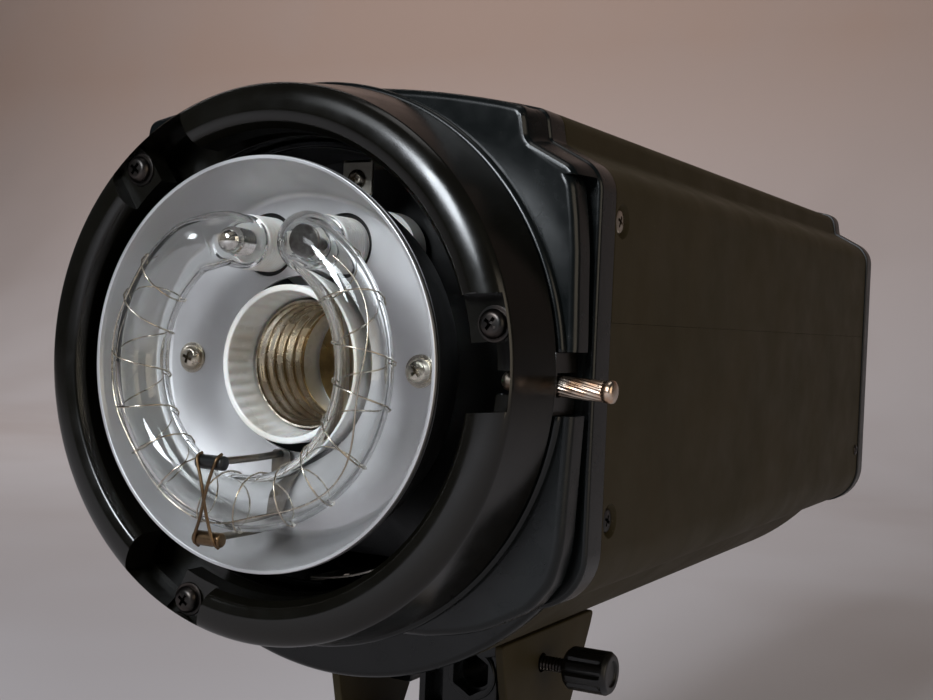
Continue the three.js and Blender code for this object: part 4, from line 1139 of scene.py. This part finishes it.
fuse_form = carve(placed(turned(fillet([
    (0, PANEL_BACK - 20), (6.0, PANEL_BACK - 20), (6.0, PANEL_BACK + 1.0, 0.3),
    (5.0, PANEL_BACK + 1.2), (5.0, PANEL_BACK + 5.0, 0.7), (0, PANEL_BACK + 5.0),
], step=15), 120, ribbed(0.25, 20, 4.0, 1.1)),
    FUSE), tool_box((FUSE[0] - 3.4, FUSE[0] + 3.4),
                                     (PANEL_BACK + 3.8, PANEL_BACK + 6.0),
                                     (FUSE[1] - 0.6, FUSE[1] + 0.6)))
piece("fuse_holder_cap", fuse_form, CONTROL, body="fuse_cap",
      replaces="fuse_cap")
jack_nut = placed(slab(arc(7.0, 0, 300, 5), PANEL_BACK + 0.05, PANEL_BACK + 1.3, 0.0, 0.3),
                 JACK)
jack_form = joined(
    placed(turned(fillet([
        (3.3, PANEL_BACK - 22), (5.5, PANEL_BACK - 22), (5.5, PANEL_BACK + 1.6, 0.3),
        (3.3, PANEL_BACK + 1.6, 0.3),
    ], step=20), 72), JACK),
    carve(jack_nut, bar(4.5, PANEL_BACK - 2.0, PANEL_BACK + 3.0, JACK, edge=0.0)),
)
piece("sync_socket", jack_form, NICKEL, replaces="sync_jack")

INLET_FLOOR = PANEL_BACK - 19.0
flange = slab(rounded(31.0, 24.0, 2.0, INLET), PANEL_BACK, PANEL_BACK + 2.0, 0.0, 0.7)
well = slab(rounded(27.0, 20.0, 1.2, INLET), INLET_FLOOR - 3.0, PANEL_BACK + 1.0)
mouth = fillet([
    (INLET[0] - 11.5, INLET[1] - 8, 1.0), (INLET[0] + 11.5, INLET[1] - 8, 1.0),
    (INLET[0] + 11.5, INLET[1] + 4.5, 0.8), (INLET[0] + 8.0, INLET[1] + 8, 0.8),
    (INLET[0] - 8.0, INLET[1] + 8, 0.8), (INLET[0] - 11.5, INLET[1] + 4.5, 0.8),
], step=20)
inlet_form = carve(welded(flange, well), slab(mouth, INLET_FLOOR, PANEL_BACK + 4.0))
piece("mains_socket", inlet_form, CONTROL,
      replaces="mains_inlet", bevel=0.2)
blades = [
    block((INLET[0] + x - 1.0, INLET[0] + x + 1.0), (INLET_FLOOR - 1.0, PANEL_BACK - 6.0),
          (INLET[1] + z - 2.0, INLET[1] + z + 2.0), 0.4, 0.4)
    for x, z in ((-7, -1), (7, -1), (0, 3))
]
piece("mains_blades", joined(*blades), NICKEL)
rocker_form = side_slab(fillet([
    (PANEL_BACK - 12, ROCKER[1] - 6), (PANEL_BACK - 2, ROCKER[1] - 8.2),
    (PANEL_BACK + 0.5, ROCKER[1] - 8.2, 0.5), (PANEL_BACK + 1.0, ROCKER[1], 20),
    (PANEL_BACK + 2.9, ROCKER[1] + 7.3, 0.8), (PANEL_BACK - 2, ROCKER[1] + 8.2),
    (PANEL_BACK - 12, ROCKER[1] + 6),
], step=8), ROCKER[0] - 6.4, ROCKER[0] + 6.4, 0.4, 0.4, 3)
piece("mains_rocker", rocker_form, RED, body="power_switch",
      replaces="power_switch")
rocker_mark = block((ROCKER[0] - 0.4, ROCKER[0] + 0.4), (PANEL_BACK + 1.8, PANEL_BACK + 2.3),
                    (ROCKER[1] + 2.4, ROCKER[1] + 4.6), 0.2, 0.05)
piece("mains_rocker_mark", rocker_mark, INK, body="power_switch")

# ---------------------------------------------------------------- fan behind its grille
FAN_FRONT, FAN_BACK, FAN_BLADES = 264.0, 282.0, 7
hub = turned(fillet([(0, FAN_FRONT + 3), (8, FAN_FRONT + 3, 0.5), (8, FAN_BACK - 1.5, 1.0),
                     (0, FAN_BACK - 1.5)], step=20), 56)
blades = []
for i in range(FAN_BLADES):
    rows = []
    for j in range(7):
        r = 7.2 + (FAN_R - 0.8 - 7.2) * j / 6
        pitch = 0.95 - 0.3 * j / 6
        rows.append([
            (r * math.cos(a), FAN_FRONT + 10.2 - 5.4 * s, r * math.sin(a))
            for s, a in ((s, pitch * s * 0.55 + 0.02 * j) for s in (-1, -0.5, 0, 0.5, 1))
        ])
    top = [p for line in rows for p in line]
    low = [(x, y + 0.8, z) for x, y, z in top]
    faces = []
    for a in range(6):
        for b in range(4):
            q = (a * 5 + b, a * 5 + b + 1, a * 5 + b + 6, a * 5 + b + 5)
            faces += [q, tuple(35 + k for k in reversed(q))]
    rim = ([b for b in range(5)] + [a * 5 + 4 for a in range(1, 7)]
           + [30 + b for b in (3, 2, 1, 0)] + [a * 5 for a in (5, 4, 3, 2, 1)])
    for a, b in zip(rim, rim[1:] + rim[:1]):
        faces.append((a, b, 35 + b, 35 + a))
    blades.append(moved((top + low, faces), (0, 0, 0), turn_y(360 * i / FAN_BLADES)))
piece("cooling_fan_rotor", placed(joined(hub, *blades), FAN),
      CONTROL, body="fan_rotor", replaces="fan_rotor")

# ---------------------------------------------------------------- bracket under the belly
BELLY_CLEAR, BORE_X, BORE_Z, BORE_R = HUMP_RADIUS + 0.3, 16.9, -78.5, 4.3
UMB_FRONT, UMB_BACK, UMB_SCREW_Y, SADDLE_BACK = 73.0, 113.0, 95.0, 128.0


def saddle(outer, half):
    wide = math.degrees(math.asin(half / outer))
    return arc(outer, -90 - wide, -90 + wide, 24) + [(half, -60.0), (-half, -60.0)]


casting = welded(
    slab(saddle(BELLY_CLEAR + 3.2, 24.0), UMB_FRONT, SADDLE_BACK, 0.6, 0.6, 3),
    slab(fillet([(1.2, -74.0), (23.9, -70.0), (23.9, -92, 1.4), (1.2, -92, 2.0)], step=15),
         UMB_FRONT + 1, UMB_BACK, 0.7, 0.7, 3),
    block((-23.9, -16.0), (100.0, 110.0), (-92.0, -72.0), 1.2, 0.6),
    placed(turned(fillet([(0, UMB_FRONT), (6.9, UMB_FRONT, 0.8), (6.9, UMB_FRONT + 4),
                         (0, UMB_FRONT + 4)], step=15), 64), (BORE_X, BORE_Z)),
)
casting = carve(
    casting,
    disc(BELLY_CLEAR, 60.0, 140.0, 192),
    bar(BORE_R, 60.0, 140.0, (BORE_X, BORE_Z), edge=0.0),
    placed(slab(arc(5.8, 30, 330, 5), 60.0, UMB_FRONT + 3.5), (BORE_X, BORE_Z)),
    block((3.2, 8.5), (60.0, UMB_FRONT + 6.0), (-89.0, -76.5), 1.0, 0.0),
    bar(3.3, 18.0, 30.0, (UMB_SCREW_Y, BORE_Z), "x", 0.0),
)
piece("bracket_casting", casting, CASING, replaces="bracket_block",
      bevel=0.3)

CHEEK_IN, CHEEK_OUT, PIVOT_HOLE = 24.3, 26.8, 4.3
cheek_outline = fillet([
    (71, -69.9, 1.0), (79.5, -104, 4.0), *arc(14.0, 152, 386, 26, AXLE),
    (127, -74, 5.0), (129, -69.9, 1.0),
], step=10)
for name, side in (("right", 1), ("left", -1)):
    spans = (CHEEK_IN, CHEEK_OUT) if side > 0 else (-CHEEK_OUT, -CHEEK_IN)
    form = carve(side_slab(cheek_outline, *spans, 0.5, 0.5, 3),
                 bar(PIVOT_HOLE, -40.0, 40.0, AXLE, "x", 0.0),
                 *([bar(2.6, 20.0, 30.0, (UMB_SCREW_Y, BORE_Z), "x", 0.0)] if side > 0 else []))
    piece(f"cheek_plate_{name}", form, BODY_PAINT,
          replaces=f"bracket_cheek_{name}")


def hand_knob(radius, low, high, centre, flutes, shank, shank_from):
    """A fluted knob on a threaded shank, drawn along X."""
    def flute(r, depth, angle):
        if r > radius * 0.86 and depth < high - 1.6:
            return r - radius * 0.12 * max(0.0, math.cos(flutes * angle)) ** 2
        return r

    def thread(r, depth, angle):
        return r - 0.18 * (0.5 - 0.5 * math.cos(TAU * depth / 0.9 - angle))
    head = turned(fillet([
        (0, low), (radius * 0.8, low, 0.6), (radius, low + 1.4, 0.8), (radius, high - 2.4, 0.6),
        (radius, high - 1.2, 0.5), (radius * 0.86, high, 0.8), (radius * 0.6, high, 0.3),
        (radius * 0.55, high - 0.6, 0.3), (0, high - 0.6),
    ], step=12), 12 * flutes, flute)
    steps = int((low - shank_from) / 0.15)
    rod = turned([(0, shank_from)] + [(shank, shank_from + (low + 1 - shank_from) * i / steps)
                                      for i in range(steps + 1)] + [(0, low + 1)], 40, thread)
    return across(head, centre), across(rod, centre)


umb_head, umb_rod = hand_knob(5.7, 34.3, 46.8, (UMB_SCREW_Y, BORE_Z), 10, 2.0, 23.3)
piece("umbrella_clamp_knob", umb_head, CONTROL,
      body="umbrella_knob", replaces="umbrella_knob")
piece("umbrella_clamp_screw", umb_rod, BLACK_STEEL, body="umbrella_knob")
NODES["umbrella_pad"].data.materials[0] = BRASS.material

# ---------------------------------------------------------------- stand socket and tilt lock
STAND_Z = -RIM.z / MM
SOCKET_R, SOCKET_BORE, SOCKET_DEPTH, SOCKET_KNOB_Z = 17.0, 8.1, 36.0, 20.0
BARREL_R, BARREL_HALF = 14.0, 23.7


def upright(profile, segments=96):
    """Turned about the stand socket's axis, with heights above its mouth."""
    return moved(turned(profile, segments), (0, PIVOT.y, STAND_Z), TO_Z)


head_form = welded(
    bar(BARREL_R, -BARREL_HALF, BARREL_HALF, AXLE, "x", 0.8, 96),
    upright(fillet([(0, 0), (SOCKET_R, 0, 1.0), (SOCKET_R, 6.0, 0.3), (SOCKET_R - 0.5, 6.4),
                    (SOCKET_R - 0.5, 36.0), (SOCKET_R - 3.0, 44.0, 6.0), (SOCKET_R - 3.5, 49),
                    (0, 49)], step=12)),
    bar(9.0, 10.0, 20.0, (PIVOT.y, STAND_Z + SOCKET_KNOB_Z), "x", 0.6, 64),
)
head_form = carve(
    head_form, upright(fillet([(0, -2), (SOCKET_BORE + 0.8, -2), (SOCKET_BORE + 0.8, 0),
                               (SOCKET_BORE, 0.8), (SOCKET_BORE, SOCKET_DEPTH),
                               (0, SOCKET_DEPTH)])),
    bar(PIVOT_HOLE, -30.0, 30.0, AXLE, "x", 0.0),
    bar(3.9, 0.0, 30.0, (PIVOT.y, STAND_Z + SOCKET_KNOB_Z), "x", 0.0),
)
piece("tilt_head_casting", head_form, CASING, body="stand_head",
      replaces="tilt_head", bevel=0.35)
bolt_form = joined(
    bar(4.0, -31.0, 34.0, AXLE, "x", 0.5, 48),
    across(slab(arc(5.6, 30, 330, 5), -31.0, -27.2, 0.4, 0.3), AXLE),
)
piece("pivot_bolt", bolt_form, NICKEL, replaces="tilt_bolt")
nut_form = carve(across(slab(arc(7.2, 30, 330, 5), CHEEK_OUT + 0.3, 32.0, 0.5, 0.5), AXLE),
                 bar(PIVOT_HOLE, 20.0, 40.0, AXLE, "x", 0.0))
piece("pivot_nut", nut_form, NICKEL, replaces="tilt_nut")
LEVER_LENGTH, LEVER_DROOP = 52.0, 0.9
arm = side_slab(fillet([
    (0, 7.0, 3), (18, 5.4, 20), (LEVER_LENGTH - 12, 5.2, 10), (LEVER_LENGTH, 3.2, 3.2),
    (LEVER_LENGTH, -4.0, 3.5), (LEVER_LENGTH - 14, -5.6, 10), (18, -5.6, 20), (0, -7.0, 3),
], step=10), -42.0, -34.0, 1.6, 1.6, 4)
lever_form = welded(
    bar(9.5, -43.0, -31.4, AXLE, "x", 1.2, 72),
    moved(arm, PIVOT, Matrix.Rotation(-LEVER_DROOP, 3, "X")),
)
piece("tilt_lock_lever", lever_form, CONTROL, body="tilt_lever",
      replaces="tilt_lever", bevel=0.3)
stand_head, stand_rod = hand_knob(11.0, 23.0, 38.0, (PIVOT.y, STAND_Z + SOCKET_KNOB_Z), 10,
                                  3.5, 11.0)
piece("stand_clamp_knob", stand_head, CONTROL,
      body="stand_knob", replaces="stand_knob")
piece("stand_clamp_screw", stand_rod, NICKEL, body="stand_knob")

# ---------------------------------------------------------------- inner CAD parts
for node, shader in {
    "stand_pad": BRASS, "mount_plate": CONTROL, "fan_frame": CONTROL, "main_board": BOARD,
    "control_board": BOARD, "flash_capacitor_left": SLEEVE, "flash_capacitor_right": SLEEVE,
    "trigger_transformer": CONTROL,
}.items():
    NODES[node].data.materials.clear()
    NODES[node].data.materials.append(shader.material)

# ---------------------------------------------------------------- stage, light and camera
FLOOR_Z, FLOOR_SIZE, WALL_Y, WALL_Z, SWEEP = -0.0015, 3.6, 2.2, 2.6, 0.9


def stage_sheet():
    profile = [(-FLOOR_SIZE, 0.0), (WALL_Y - SWEEP, 0.0)]
    profile += [(WALL_Y - SWEEP + SWEEP * math.sin(a), SWEEP - SWEEP * math.cos(a))
                for a in (math.pi / 2 * i / 16 for i in range(1, 17))]
    profile.append((WALL_Y, WALL_Z))
    points = [(x, y, FLOOR_Z + z) for x in (-FLOOR_SIZE, FLOOR_SIZE) for y, z in profile]
    n = len(profile)
    faces = [(i, i + 1, n + i + 1, n + i) for i in range(n - 1)]
    mesh = bpy.data.meshes.new("stage")
    mesh.from_pydata(points, [], faces)
    mesh.polygons.foreach_set("use_smooth", [True] * len(mesh.polygons))
    return linked("stage", mesh)


STAGE = Shader("stage_paper", (0.50, 0.455, 0.46), 0.85)
height = STAGE.node("ShaderNodeSeparateXYZ", {"Vector": STAGE.where}).outputs["Z"]
STAGE.shown = STAGE.mix(STAGE.span(height, 0.0, 0.75), (0.66, 0.625, 0.645),
                             (0.47, 0.345, 0.295))
STAGE.mottled((0.46, 0.385, 0.365), 1.6, 0.45, 0.95).grain(500.0, 0.1, 0.2)
floor = stage_sheet()
floor.data.materials.append(STAGE.material)

FOCUS = RIM + Vector((0.0, 0.12, 0.0))


def softbox(name, place, size, power, colour, aim=FOCUS):
    lamp = bpy.data.lights.new(name, "AREA")
    lamp.shape = "RECTANGLE"
    lamp.size, lamp.size_y = size
    lamp.energy = power
    lamp.color = colour
    thing = bpy.data.objects.new(name, lamp)
    bpy.context.scene.collection.objects.link(thing)
    thing.location = place
    thing.rotation_euler = (Vector(aim) - Vector(place)).to_track_quat("-Z", "Y").to_euler()
    return thing


softbox("front_key", FOCUS + Vector((-0.05, -0.90, 0.42)) * 1.6, (0.42, 0.42), 20.0,
        (0.88, 0.94, 1.0))
softbox("front_high", FOCUS + Vector((-0.25, -0.76, 0.56)) * 1.6, (0.5, 0.4), 2.0,
        (0.92, 0.96, 1.0))
softbox("right_sheen", (1.5, -0.35, 0.45), (1.2, 1.0), 6.0, (1.0, 0.87, 0.68))
softbox("overhead", (0.1, 0.0, 1.5), (0.8, 0.5), 1.5, (1.0, 0.98, 0.96))
softbox("backdrop", (-1.35, 0.7, 1.5), (1.8, 0.6), 15.0, (1.0, 0.96, 0.93),
        aim=(-1.5, 2.1, 0.3))

world = bpy.data.worlds.new("studio")
bpy.context.scene.world = world
world.use_nodes = True
world.node_tree.nodes["Background"].inputs["Color"].default_value = (0.80, 0.80, 0.82, 1.0)
world.node_tree.nodes["Background"].inputs["Strength"].default_value = 0.035

CAMERA_PLACE = RIM + Vector((176.209, -230.657, 10.226)) * MM
CAMERA_RIGHT = Vector((0.8782402, 0.47636657, 0.04206004))
CAMERA_DOWN = Vector((0.04573182, 0.00388818, -0.99894619))
CAMERA_AHEAD = Vector((-0.4760281, 0.87923818, -0.01837035))
lens = bpy.data.cameras.new("camera")
lens.lens, lens.sensor_width, lens.clip_start = 52.105, 36.0, 0.01
camera = bpy.data.objects.new("camera", lens)
bpy.context.scene.collection.objects.link(camera)
camera.matrix_world = Matrix((
    (CAMERA_RIGHT.x, -CAMERA_DOWN.x, -CAMERA_AHEAD.x, CAMERA_PLACE.x),
    (CAMERA_RIGHT.y, -CAMERA_DOWN.y, -CAMERA_AHEAD.y, CAMERA_PLACE.y),
    (CAMERA_RIGHT.z, -CAMERA_DOWN.z, -CAMERA_AHEAD.z, CAMERA_PLACE.z),
    (0.0, 0.0, 0.0, 1.0),
))
bpy.context.scene.camera = camera
bpy.context.scene.view_settings.view_transform = "Standard"
